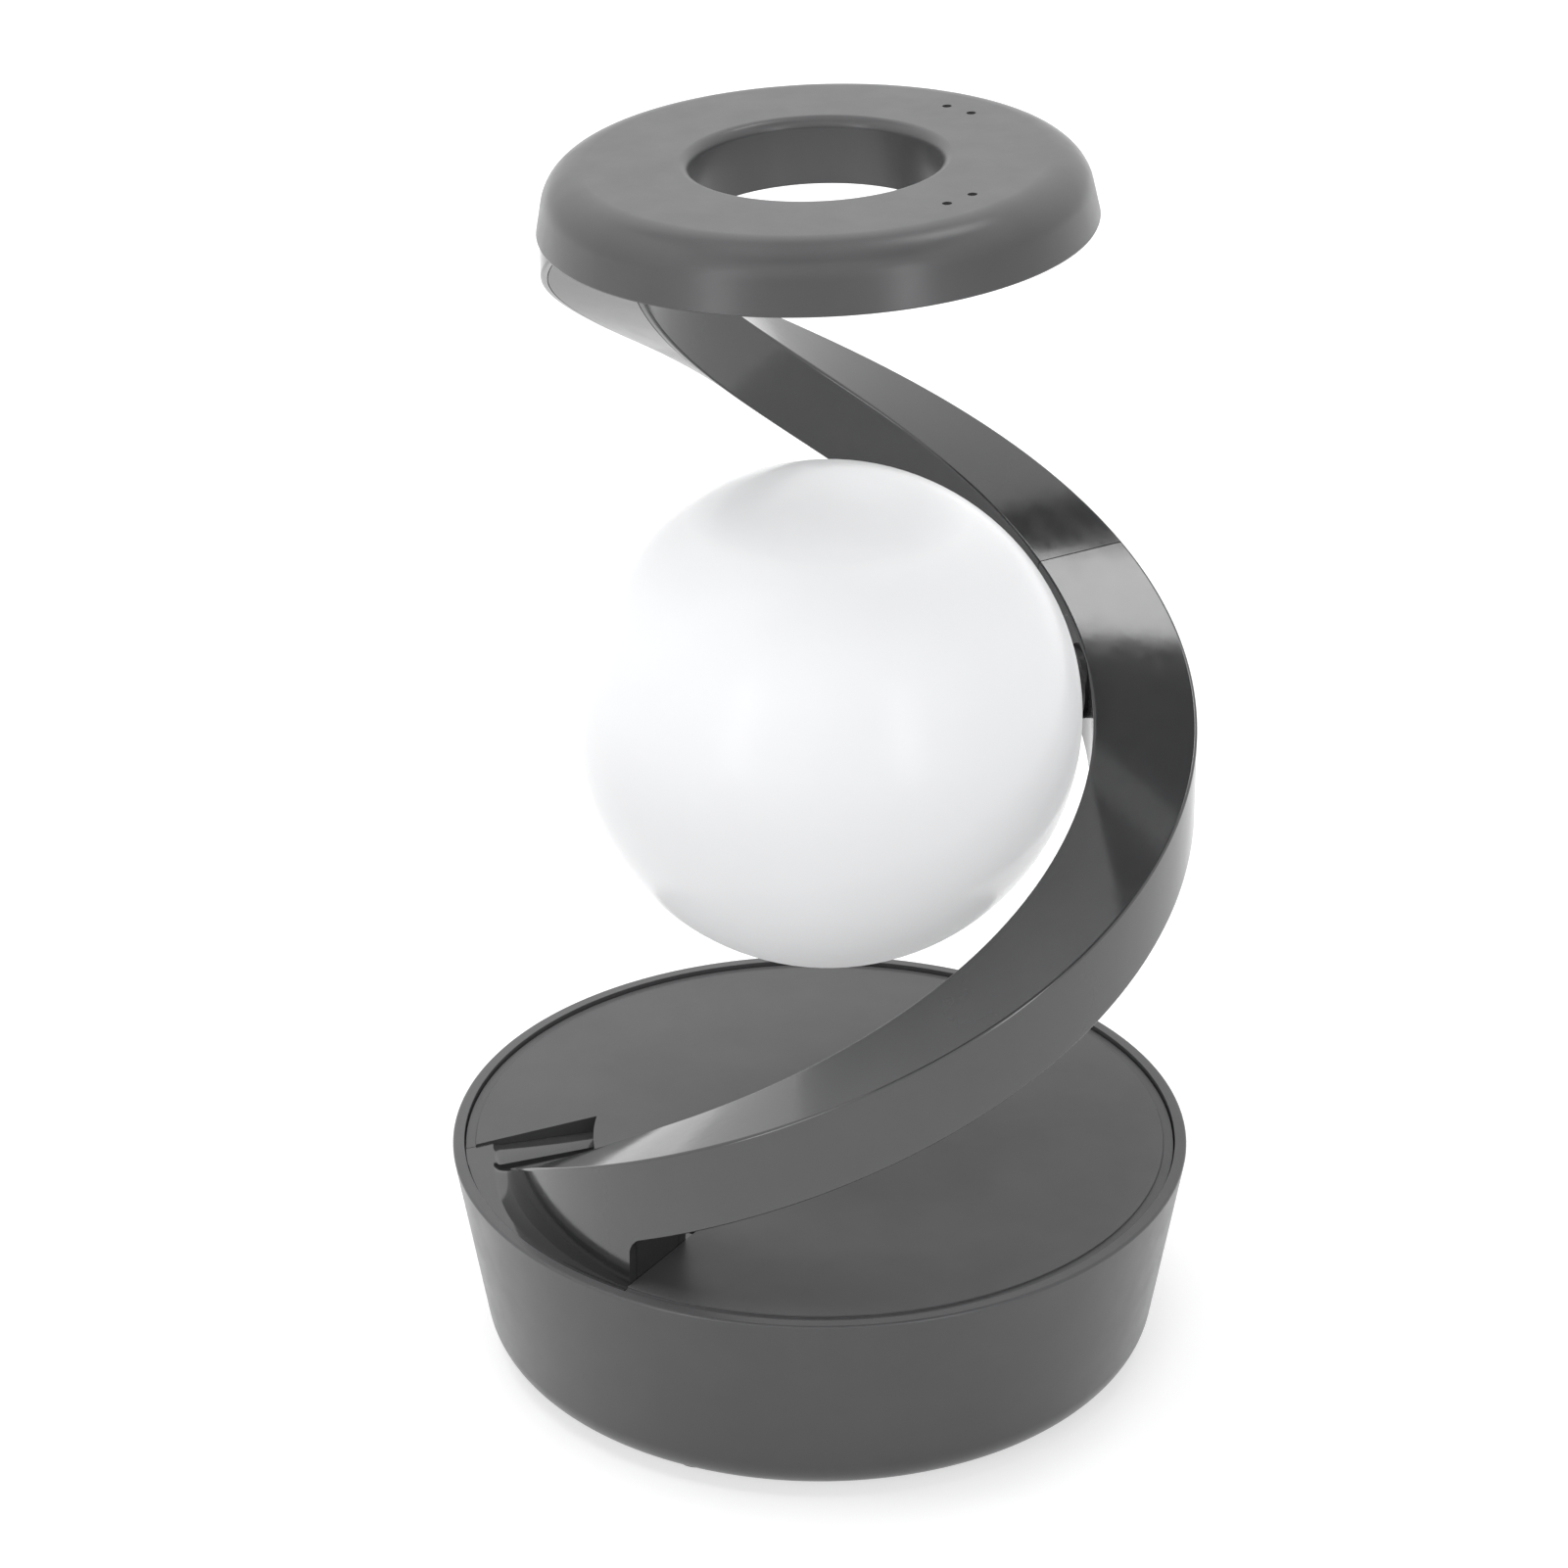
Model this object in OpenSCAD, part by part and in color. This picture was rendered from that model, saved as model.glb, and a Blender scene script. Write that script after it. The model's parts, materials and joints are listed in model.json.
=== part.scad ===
// Spiral table lamp: a charging base, one rising arm, a light ring and a turning globe.
// Millimetres, +Z up, +X to the right and -Y towards the viewer.
// The origin is on the table, under the centre of the base.

/* [Base] */
// Outer radius of the base at its rim
base_r = 70; // [66:1:84]
// How far the side of the base draws in towards the table
base_flare = 7; // [4:0.5:9]
// Height of the base housing
base_h = 40.8; // [36:0.2:60]
// Rounding of the bottom edge of the base
base_edge_r = 8.4; // [4:0.2:12]
// Wall of the base housing at the rim
base_wall = 2.3; // [1.8:0.1:3.5]
// How far the rubber feet stand out below the base
feet_out = 0.6; // [0.4:0.1:2]

/* [Charging deck] */
// How far the edge of the deck lies below the rim
deck_drop = 0.9; // [0.5:0.1:2]
// Rise of the middle of the deck over its edge
deck_rise = 0.4; // [0.2:0.1:1]
// Width of the low edge of the deck
deck_edge = 1.9; // [1:0.1:4]
// Thickness of the deck at its edge
deck_t = 3; // [2.4:0.1:4]
// Dark gap round the deck
deck_gap = 0.25; // [0.15:0.05:0.5]

/* [Spiral arm] */
// Rise of the arm in one full turn
arm_pitch = 195.5; // [180:0.5:215]
// Height of the arm's band
arm_h = 17; // [14:0.5:19]
// How far inside the rim the arm stands where it leaves the deck
arm_root_in = 9.8; // [9:0.2:12]
// How far inside the rim's radius the arm stays at its widest place
arm_belly_in = 0.4; // [0:0.2:2.6]
// How far inside the ring's edge the arm meets it
arm_head_in = 0.3; // [0:0.1:2.4]
// Width of the arm's band at the deck
arm_root_w = 17.8; // [16:0.2:19]
// Width of the arm's band at its widest place
arm_belly_w = 19; // [17:0.2:19.4]
// Width of the arm's band at the ring
arm_head_w = 17.4; // [16:0.2:19]
// Direction in which the arm leaves the deck
root_az = 190; // [186:1:194]
// Direction of the arm's widest place
belly_az = 335; // [325:1:345]
// Direction in which the arm has drawn in to the ring
head_az = 527; // [520:1:535]
// Direction of the joint between the lower and the upper arm
seam_az = 390; // [385:1:400]
// Direction of the upright end wall of the foot
foot_end_az = 237.5; // [232:0.5:242]
// Wall of the arm's moulded channel
arm_wall = 2.2; // [1.8:0.1:2.6]
// Turn from one drawn section of the arm to the next
arm_step = 3; // [2:0.5:5]

/* [Ring head] */
// Height of the ring's lower edge over the table
ring_z = 225.1; // [215:0.1:235]
// How far the ring's edge stands inside the rim of the base
ring_in = 20.6; // [18:0.1:22]
// Width of the ring from its edge to its hole
ring_w = 27.3; // [24:0.1:32]
// Height of the ring from lower edge to flat top
ring_h = 11.7; // [10:0.1:16]
// Wall of the ring cover
ring_wall = 2; // [1.6:0.1:2.6]
// Lean of the ring about X, in degrees
ring_lean_x = -1.3; // [-3:0.1:3]
// Lean of the ring about Y, in degrees
ring_lean_y = -2.1; // [-3:0.1:3]

/* [Globe] */
// Space between the globe and the arm's inner wall at the pivot
globe_gap = 1.92; // [1.72:0.1:8]
// Wall of the globe
globe_wall = 2; // [1.5:0.1:3]
// Place of the globe's centre, to the right of the axis
globe_x = 1.5; // [0:0.1:2]
// Place of the globe's centre, towards the viewer
globe_y = -3.5; // [-5:0.1:-3]
// Direction of the globe's pivot
pivot_az = 16.6; // [15:0.1:18]
// Turn of the globe each way from rest
globe_turn = 150; // [90:5:150]

/* [Hidden] */
$fn = 96;

// Shared clearances and small sizes
over = 1;             // overrun of every cut
fit_gap = 0.15;       // between pieces that are put together
shaft_gap = 0.05;     // round a shaft in its bore
screw_r = 1.4;        // shank of the small screws
head_r = 2.5;         // head of the small screws
head_t = 1.6;
drive_r = 0.9;        // socket in a screw head
drive_d = 0.8;
board_t = 1.6;        // circuit boards

// Base
tub_z = feet_out;
base_low_r = base_r - base_flare;
rim_z = tub_z + base_h;
deck_edge_z = rim_z - deck_drop;
deck_low_z = deck_edge_z - deck_t;
deck_r = base_r - base_wall - deck_gap;
side_angle = atan2(base_flare, base_h);
floor_t = 2.4;        // floor of the tub round the bottom cover
ledge_w = 2.4;        // shelf that carries the deck's edge
ledge_h = 4.5;
cover_in = 15;        // bottom cover, inside the foot of the side
cover_r = base_low_r - cover_in;
cover_t = 2;
cover_ledge = 6;      // shelf of the tub over the cover's edge
cover_screw_at = cover_r - cover_ledge / 2;
cover_lap = 2;        // how far that shelf runs out beyond the cover
boss_r = 3;           // screw bosses
foot_boss_r = 4.2;    // bosses of the tub over the rubber feet
foot_pad_r = 4.5;     // rubber feet
foot_pad_t = 1.8;
feet_in = 9.4;        // feet and deck screws, inside the foot of the side
feet_at = base_low_r - feet_in;
feet_count = 4;
feet_az = 65;
weight_in = 7;        // counterweight, inside the bottom cover's edge
weight_r = cover_r - weight_in;
weight_t = 7;
weight_hole_r = 4;
board_z = 13.5;
board_tongue_x = 16;
board_tongue_y = 7.47;
post_r = 3;           // posts that carry the main board
post_rim = 0.2;       // rim left between their holes and the weight's edge
post_at = weight_r - weight_hole_r - post_rim;
post_x_share = 0.38;
post_y_shares = [0.571, 0.925];
post_x = post_at * post_x_share;
post_ys = [for (s = post_y_shares) post_at * s];
board_rim = 4;        // main board, round its posts
board_x = 2 * (post_x + board_rim);
board_y0 = post_ys[0] - board_rim;
socket_x = 9;         // charging inlet
socket_z = 3.3;
socket_l = 10;
socket_wall = 0.4;
inlet_recess_x = 13;
inlet_recess_z = 7;
inlet_recess_d = 1;
touch_r = 4;          // touch contact between board and deck
touch_x = -12;
touch_y = 31;
inlet_z = board_z + board_t + socket_z / 2;
socket_face_y =
    base_low_r + base_flare * (inlet_z - tub_z) / base_h - inlet_recess_d;
board_y = socket_face_y - base_wall - board_tongue_y - board_y0;
deck_screw_l = 12;
cover_screw_l = base_wall + cover_t / 2;
deck_post_z = tub_z + floor_t + head_t;

// Charging coil under the deck
coil_in_r = 10;
coil_out_r = 22;
coil_t = 1.4;
coil_turn_count = 5;
coil_groove = 0.5;
ferrite_r = 24;
ferrite_t = 1;
tray_r = 27;
tray_t = 1.6;
tray_ear_at = 30;
tray_ear_r = 4;
tray_ear_count = 3;
tray_z = deck_low_z - coil_t - ferrite_t - tray_t;
tray_az = 30;
tray_screw_l = 4.5;

// Arm
ring_r = base_r - ring_in;
ring_hole_r = ring_r - ring_w;
arm_root_r = base_r - arm_root_in;
arm_belly_r = base_r - arm_belly_in;
arm_head_r = ring_r - arm_head_in;
arm_lift = 0.2;       // root of the arm's top over the edge of the deck
root_top_z = deck_edge_z + arm_lift;
foot_t = 4.6;         // depth of the foot below the edge of the deck
seat_z = deck_edge_z - foot_t;
cover_rim = 1.2;      // rim left of the channel's wall beside the cover
arm_cover_t = 1.6;
arm_ch = 0.5;         // broken edges of the band
seam_gap = 0.2;       // dark line between lower and upper arm
flange_r = deck_r;
moat_w = 2.4;         // width of the hollow beside the foot, at the root
moat_in = 1.25;       // and its outer edge inside the deck's, where it has opened out
moat_r0 = arm_root_r + moat_w;
moat_r = deck_r - moat_in;
moat_turn = 32;       // turn over which it opens out
moat_share = 0.42;    // rise of that hollow over its width
moat_shares = [0.5, 0.15];      // places across it that are drawn
moat_power_share = 2;   // how hollow it is where it rises to the arm
face_h = 0.3;         // height of the arm's outer face where it starts
root_dip = 1.8;       // the arm's top starts this much lower, and is true again further on
dip_turn = 30;
root_solid_turn = 12;  // the foot is solid up to here
root_solid_az = root_az + root_solid_turn;
end_round = 2;        // rounding over the end wall
end_draft = 0.1;      // lean of the end wall, in degrees
lip_t = 1.8;          // upright lip of the lower cover
cut_in = 0.9;         // inner arc of the opening in the deck, outside the arm's inner face
cut_in_r = arm_root_r - arm_root_w + cut_in;
cut_az0 = 172.37;     // where the straight edge meets that arc
cut_az1 = 184.84;     // where the straight edge meets the rim
spare_turn = 1;       // overrun of cuts that turn, in degrees
weld_turn = 0.05;     // lap of the ramp into the arm, in degrees
trough_reach_share = 0.15;          // overrun of the ramp's corners, of its length
trough_edge_ds = [3.3, 0.25];       // depth of the ramp at those corners: along the straight edge
trough_step_ds = [2.35, 0.35];      // and along the step, inner end first
trough_wall_in = 0.2; // outer wall of the ramp, inside the hollow's edge
trough_wall_r = moat_r0 - trough_wall_in;
step_in = 0.3;        // ends of the step at the foot of the ramp, inside the arc and the wall
step_out = 1;
step_az0 = 180.27;    // and their directions
step_az1 = 189.75;
root_climb_angle = 16;      // climb of the arm's top between the step and the root
splice_turn = 9;      // reach of the splice each way, in degrees
splice_h = 8;
bracket_t = 2;
foot_screw_ins = [10.2, 3.2];       // screws of the foot, inside the arm's outer face
foot_block_az0 = 212;
foot_block_az1 = 230;
bracket_lap = 4;
bracket_turn = 3;
root_screw_az = 197;
block_screw_az = 221;
foot_screw_l = 3;
cut_p0 = [cut_in_r * cos(cut_az0), cut_in_r * sin(cut_az0)];
cut_p1 = [flange_r * cos(cut_az1), flange_r * sin(cut_az1)];
cut_line_az = atan2(cut_p0[1] - cut_p1[1], cut_p0[0] - cut_p1[0]);
step_p0 = [(cut_in_r - step_in) * cos(step_az0), (cut_in_r - step_in) * sin(step_az0)];
step_p1 = [(trough_wall_r - step_out) * cos(step_az1), (trough_wall_r - step_out) * sin(step_az1)];
step_line_az = atan2(step_p0[1] - step_p1[1], step_p0[0] - step_p1[0]);
ring_slack = 3;        // how far the arm's underside runs past the ring's before the cut
arm_end_az = root_az + (ring_z + ring_slack - root_top_z + arm_h) / arm_pitch * 360;
head_back_turn = 30;   // the head block, in degrees before the arm's end
head_front_turn = 12;
head_gap = 0.8;        // between the head block and the cover under it
head_block_az0 = arm_end_az - head_back_turn;
head_block_az1 = arm_end_az - head_front_turn;
head_screw_l = 4;
head_screw_ins = [12.1, 6.1];       // its screws, inside the arm's outer face
head_screw_az = (head_block_az0 + head_block_az1) / 2 - 360;

// Ring
ring_side_in = 0.9;   // how far the side draws in
ring_shoulder = 7.6;  // width and height of the shoulder
ring_lip_r = 2;       // rolled edge of the hole
ring_sink = 0.6;      // the hole's wall stands below the lower edge
ring_base_t = 2;
ring_x = -0.3;
pin_r = 0.85;         // pinholes
pin_share = 0.48;     // their place over the ring's width
pin_turns = [39.5, 49.5, -39.5, -49.5];
pin_az = -1.5;
lamp_in_share = 0.29; // light slot, over the ring's width
lamp_out_share = 0.8;
lamp_in_r = ring_hole_r + lamp_in_share * ring_w;
lamp_out_r = ring_hole_r + lamp_out_share * ring_w;
lamp_az0 = 208;
lamp_turn = 312;
slot_ledge = 1;
led_board_down = 5.5; // light board, below the ring's flat top
led_board_z = ring_h - led_board_down;
led_t = 0.9;
led_w = 2.8;
ring_led_count = 24;
ring_screw_out = 4.4;
ring_screw_at = ring_hole_r + ring_screw_out;
ring_screw_azs = [30, 120, 240, 330];
ring_boss_r = 2.3;
ring_base_taper = 0.5;
slot_step = 0.8;
slot_turn = 1.4;
ring_head_r = 2;
ring_post_count = 6;   // posts of the cover that carry the light board
ring_post_r = 1.5;
ring_screw_l = 6;

// Globe and pivot, as distances along the pivot from the globe's centre
neck_r = 13;
neck_flange = 2.4;
hub_t = 2.2;
axle_r = 2.6;
axle_bore_r = 1.3;
axle_plate_r = 7;
axle_plate_t = 2;
bush_r = 4.3;
bush_flange_r = 7;
bush_flange_t = 1.1;
bush_in = 7;          // reach of the bush into the arm
washer_r = 4;
washer_t = 0.5;
nut_r = 4;
nut_t = 1.6;
stop_w = 1;           // radial size of the turn stops
stop_play = 6;        // turn left between the stops past the globe's range
stop_turn = 180 - globe_turn - stop_play;   // angular size of a turn stop
stop_l = 1.4;
nut_gap = 0.35;       // running gap between the washer and the nut
stop_gap = 0.35;
led_board_r = 13;
led_stand = 6;        // height of the light board's posts
led_post_r = 1;
led_post_az = 60;
led_post_at = led_board_r - 2 * led_post_r;
globe_led_count = 6;
led_ring_r = 8;
hub_screw_at = 4.9;
hub_screw_r = 0.9;
hub_screw_count = 3;

// Laws of the spiral: smooth from the root over the belly to the ring
function ease(t) = (1 - cos(180 * min(1, max(0, t)))) / 2;
function up_share(a) = sin(90 * min(1, max(0, (a - root_az) / (belly_az - root_az))));
function in_share(a) = ease((a - belly_az) / (head_az - belly_az));
function along(a, root, belly, head) =
    a < belly_az ? root + (belly - root) * up_share(a) : belly + (head - belly) * in_share(a);
function arm_ro(a) = along(a, arm_root_r, arm_belly_r, arm_head_r);
function arm_ri(a) = arm_ro(a) - along(a, arm_root_w, arm_belly_w, arm_head_w);
function dip(a) = root_dip * pow(1 - min(1, (a - root_az) / dip_turn), 2);
function arm_top(a) = root_top_z + arm_pitch * (a - root_az) / 360 - dip(a);
function arm_low(a) = root_top_z + arm_pitch * (a - root_az) / 360 - arm_h;
function roof(a) = arm_top(a) - arm_wall;

// Where the pivot's line meets the arm's inner face, and the height of the band there
function pivot_xy(s) = [globe_x + s * cos(pivot_az), globe_y + s * sin(pivot_az)];
function pivot_dir(s) = 360 + atan2(pivot_xy(s)[1], pivot_xy(s)[0]);
function wall_on_pivot(s, n) =
    n < 1 ? s : wall_on_pivot(s + arm_ri(pivot_dir(s)) - norm(pivot_xy(s)), n - 1);
pivot_round_count = 8;
arm_wall_s = wall_on_pivot(arm_belly_r - arm_belly_w, pivot_round_count);
globe_r = arm_wall_s - globe_gap;
globe_z = arm_top(pivot_dir(arm_wall_s)) - arm_h / 2;
bush_end_s = arm_wall_s + bush_in;
nut_s = bush_end_s + washer_t + nut_gap;
hub_dome = 1;
axle_end_s = nut_s + nut_t + axle_r / 2;
hub_head_r = 1.5;
hub_head_t = 1;
hub_low_s = sqrt(pow(globe_r - globe_wall, 2) - pow(neck_r + neck_flange, 2)) - fit_gap - hub_t;
led_board_s = hub_low_s - led_stand;

// Stations from one azimuth to another, with both ends
function stations(a0, a1) =
    let (n = max(1, ceil((a1 - a0) / arm_step)))
    [for (i = [0:n]) a0 + (a1 - a0) * i / n];

// The end wall's rounding as extra stations just past the wall
end_az = foot_end_az + 2 * end_draft;
end_turn = end_round / (arm_root_r + arm_root_w / 2) * 180 / PI;
end_shares = [0, 0.15, 0.4, 1];
function end_drop(a) =
    let (s = min(1, max(0, (a - end_az) / end_turn)))
    end_round * (1 - sqrt(1 - pow(1 - s, 2)));
function under(a) = a <= foot_end_az + end_draft ? seat_z : arm_low(a) - end_drop(a);

// One section of the lower arm, counted anticlockwise from the inner lower corner.
// Up to the end wall it stands on the seat and carries the hollow and the flange.
function cove(h, m) = h * (h > 0 ? pow(1 - m, moat_power_share) : 1 - m * m);
function moat_at(a) = moat_r0 + (moat_r - moat_r0) * sin(90 * min(1, (a - root_az) / moat_turn));
function foot_side(a) =
    let (
        ro = arm_ro(a), w = moat_at(a) - ro,
        h = min(moat_share * w, arm_top(a) - face_h - deck_edge_z)
    )
    [
        [flange_r, seat_z], [flange_r, deck_edge_z], [moat_at(a), deck_edge_z],
        for (m = moat_shares) [ro + m * w, deck_edge_z + cove(h, m)],
        [ro, deck_edge_z + h]
    ];
wall_shares = [0, 0.2, 0.4, 0.6, 0.8, 1];
function plain_side(ro, z0, z1, ch) =
    [for (s = wall_shares) [ro - (s == 0 ? ch : 0), z0 + (z1 - z0) * s]];
function channel(r_low, ri, ro, z0, zc) = [
    [r_low, z0],
    [ri + cover_rim, z0], [ri + cover_rim, z0 + arm_cover_t],
    [ri + arm_wall, z0 + arm_cover_t], [ri + arm_wall, zc],
    [ro - arm_wall, zc], [ro - arm_wall, z0 + arm_cover_t],
    [ro - cover_rim, z0 + arm_cover_t], [ro - cover_rim, z0]
];
function crown(ri, ro, zt, ch) =
    [[ro, zt - ch], [ro - ch, zt], [ri + ch, zt], [ri, zt - ch]];
function lower_section(a) =
    let (
        ri = max(arm_ri(a), cut_in_r + fit_gap), ro = arm_ro(a), z0 = under(a), zt = arm_top(a),
        foot = a <= foot_end_az, side = foot ? foot_side(a) : [],
        face = foot ? zt - side[len(side) - 1][1] : zt - z0, ch = min(arm_ch, face / 2),
        wall_z = a < end_az ? min(deck_edge_z, zt - 2 * arm_ch) : zt - arm_h / 4,
        inner = foot ? [[ri, wall_z], [cut_in_r, wall_z]] : [[ri, wall_z], [ri, (z0 + wall_z) / 2]]
    )
    concat(
        channel(foot ? cut_in_r : ri, ri, ro, z0, max(roof(a), z0 + 2 * arm_cover_t)),
        foot ? side : plain_side(ro, z0, wall_z, a < end_az ? 0 : arm_ch),
        crown(ri, ro, zt, ch), inner
    );
function upper_section(a) =
    let (ri = arm_ri(a), ro = arm_ro(a), z0 = arm_low(a), zt = arm_top(a))
    concat(
        channel(ri, ri, ro, z0, roof(a)),
        [[ro - arm_ch, z0], [ro, z0 + arm_ch]],
        crown(ri, ro, zt, arm_ch)
    );
function box_section(r0, r1, z0, z1) = [[r0, z0], [r1, z0], [r1, z1], [r0, z1]];

// Faces between two rows of points, along the ring of point numbers that is given
function skin(i, n, ring) =
    [for (j = [0:len(ring) - 1], t = [0, 1])
        let (p = ring[j], q = ring[(j + 1) % len(ring)])
        t == 0 ? [i * n + p, i * n + q, (i + 1) * n + q]
               : [i * n + p, (i + 1) * n + q, (i + 1) * n + p]];
function reversed(f) = [for (i = [len(f) - 1:-1:0]) f[i]];
function shifted(faces, by) = [for (f = faces) [for (i = f) i + by]];

// A solid through rows of [radius, height] points at the given azimuths.
// Up to row `solid` the channel is left out, and `plug` closes its end there.
module band(rows, az, start, finish, ring, solid_ring = [], solid = 0, plug = []) {
    n = len(rows[0]);
    m = len(rows);
    polyhedron(
        points = [for (i = [0:m - 1]) for (p = rows[i])
            [p[0] * cos(az[i]), p[0] * sin(az[i]), p[1]]],
        faces = concat(
            [for (f = start) reversed(f)],
            [for (i = [0:m - 2]) each skin(i, n, i < solid ? solid_ring : ring)],
            shifted(plug, solid * n),
            shifted(finish, (m - 1) * n)
        )
    );
}
module box_band(rows, az) {
    ends = [[0, 1, 2], [0, 2, 3]];
    band(rows, az, ends, ends, [0, 1, 2, 3]);
}

// Triangles that close the two kinds of section
function channel_cap() = [
    [0, 1, 2], [20, 0, 2], [19, 20, 2], [18, 19, 2],
    [18, 2, 3], [18, 3, 4], [18, 4, 17], [17, 4, 5], [17, 5, 16],
    [7, 8, 9], [7, 9, 10], [7, 10, 11], [7, 11, 12], [7, 12, 13], [7, 13, 14], [7, 14, 15],
    [15, 16, 5], [15, 5, 6], [15, 6, 7]
];
function upper_cap() = [
    [14, 0, 1], [14, 1, 2], [14, 2, 3], [14, 3, 4], [14, 4, 13], [13, 4, 5], [13, 5, 12],
    [7, 8, 9], [7, 9, 10], [7, 10, 11], [11, 12, 5], [11, 5, 6], [11, 6, 7]
];
function root_cap() = [
    [8, 9, 10], [8, 10, 11], [8, 11, 12], [8, 12, 13], [8, 13, 14], [8, 14, 15], [8, 15, 16],
    [16, 17, 18], [16, 18, 19], [16, 19, 20], [16, 20, 0], [16, 0, 1], [16, 1, 8]
];
function plug_cap() = [[3, 2, 1], [6, 3, 1], [8, 6, 1], [8, 7, 6], [5, 4, 3], [6, 5, 3]];
function root_ring() = concat([0, 1], [for (i = [8:20]) i]);
function whole_ring() = [for (i = [0:20]) i];
function upper_ring() = [for (i = [0:14]) i];

// Places and shared shapes
module at_ring() {
    translate([ring_x, 0, ring_z]) rotate([ring_lean_x, ring_lean_y, 0]) children();
}
module at_globe() {
    translate([globe_x, globe_y, globe_z]) rotate([0, 90, pivot_az]) children();
}
module around(n, az0, at) {
    for (i = [0:n - 1]) rotate(az0 + i * 360 / n) translate([at, 0, 0]) children();
}
module tube(r_in, r_out, h) {
    difference() {
        cylinder(r = r_out, h = h);
        translate([0, 0, -over]) cylinder(r = r_in, h = h + 2 * over);
    }
}
module ring_sector(r_in, r_out, z0, z1, a0, turn) {
    rotate(a0) rotate_extrude(angle = turn)
        translate([r_in, z0]) square([r_out - r_in, z1 - z0]);
}
// A screw with its head below, its shank going up
module screw(shank_r, cap_r, cap_t, l) {
    difference() {
        union() {
            cylinder(r = cap_r, h = cap_t);
            cylinder(r = shank_r, h = cap_t + l);
        }
        translate([0, 0, -over]) cylinder(r = drive_r, h = drive_d + over, $fn = 6);
    }
}
// Half of the tub's outline, offset inwards by a wall
module tub_outline(wall) {
    low = base_low_r - wall / cos(side_angle);
    top = base_r - wall / cos(side_angle);
    edge = base_edge_r - wall;
    cx = low + edge * (tan(side_angle) - 1 / cos(side_angle));
    cy = wall + edge;
    polygon([
        [0, wall], [cx + wall * tan(side_angle), wall], [cx + wall * tan(side_angle), cy],
        [cx + wall * tan(side_angle) + edge * cos(side_angle), cy - edge * sin(side_angle)],
        [top, base_h], [0, base_h]
    ]);
    translate([cx + wall * tan(side_angle), cy]) circle(r = edge);
}

// Base
module base_tub() {
    shelf_in = deck_r - ledge_w;
    shelf_z = deck_low_z - tub_z;
    color([0.24, 0.24, 0.25]) translate([0, 0, tub_z]) difference() {
        union() {
            rotate_extrude() difference() {
                tub_outline(0);
                difference() {
                    tub_outline(base_wall);
                    translate([shelf_in, shelf_z - ledge_h]) square([base_r, ledge_h]);
                }
                translate([0, shelf_z]) square([deck_r + deck_gap, base_h]);
            }
            around(feet_count, feet_az, feet_at) cylinder(r = foot_boss_r, h = floor_t + head_t);
            cylinder(r = cover_r + cover_lap, h = cover_t + floor_t);
        }
        translate([0, 0, -over]) {
            cylinder(r = cover_r + fit_gap, h = cover_t + over);
            cylinder(r = cover_r - cover_ledge, h = base_h);
        }
        around(feet_count, feet_az, feet_at) {
            translate([0, 0, -over]) {
                cylinder(r = foot_pad_r + fit_gap, h = foot_pad_t - feet_out + over);
                cylinder(r = head_r + fit_gap, h = foot_pad_t - feet_out + head_t + over);
                cylinder(r = screw_r + fit_gap, h = base_h);
            }
        }
        around(feet_count, 0, cover_screw_at)
            cylinder(r = screw_r, h = base_h / 2);
        // pocket of the shelf for the foot of the arm
        intersection() {
            translate([0, 0, -tub_z]) foot_outline(fit_gap, seat_z, rim_z);
            cylinder(r = deck_r + deck_gap, h = base_h);
        }
        // charging inlet at the back
        translate([0, 0, inlet_z - tub_z]) {
            translate([-socket_x / 2 - fit_gap, 0, -socket_z / 2 - fit_gap])
                cube([socket_x + 2 * fit_gap, 2 * base_r, socket_z + 2 * fit_gap]);
            translate([-inlet_recess_x / 2, socket_face_y, -inlet_recess_z / 2])
                cube([inlet_recess_x, base_r, inlet_recess_z]);
        }
    }
}

module bottom_cover() {
    color([0.2, 0.2, 0.21]) translate([0, 0, tub_z]) difference() {
        union() {
            cylinder(r = cover_r, h = cover_t);
            for (x = [-post_x, post_x], y = post_ys)
                translate([x, y, 0]) cylinder(r = post_r, h = board_z - tub_z);
        }
        around(feet_count, 0, cover_screw_at) translate([0, 0, -over]) {
            cylinder(r = screw_r + fit_gap, h = cover_t + 2 * over);
            cylinder(r = head_r, h = head_t / 2 + over);
        }
    }
}

module rubber_feet() {
    color([0.08, 0.08, 0.08]) around(feet_count, feet_az, feet_at)
        cylinder(r = foot_pad_r, h = foot_pad_t);
}

// Screws through the tub's floor into the deck's posts, hidden by the rubber feet
module deck_screws() {
    color([0.6, 0.6, 0.62]) around(feet_count, feet_az, feet_at)
        translate([0, 0, foot_pad_t]) screw(screw_r, head_r, head_t, deck_screw_l);
}

module cover_screws() {
    color([0.6, 0.6, 0.62]) around(feet_count, 0, cover_screw_at)
        translate([0, 0, tub_z]) screw(screw_r, head_r - fit_gap, head_t / 2, cover_screw_l);
}

module counterweight() {
    color([0.5, 0.5, 0.52]) translate([0, 0, tub_z + cover_t]) difference() {
        cylinder(r = weight_r, h = weight_t);
        for (x = [-post_x, post_x], y = post_ys)
            translate([x, y, -over]) cylinder(r = weight_hole_r, h = weight_t + 2 * over);
    }
}

module main_board() {
    color([0.1, 0.35, 0.2]) {
        translate([-board_x / 2, board_y0, board_z]) cube([board_x, board_y, board_t]);
        translate([-board_tongue_x / 2, board_y0 + board_y - over, board_z])
            cube([board_tongue_x, board_tongue_y + over, board_t]);
    }
}

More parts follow.
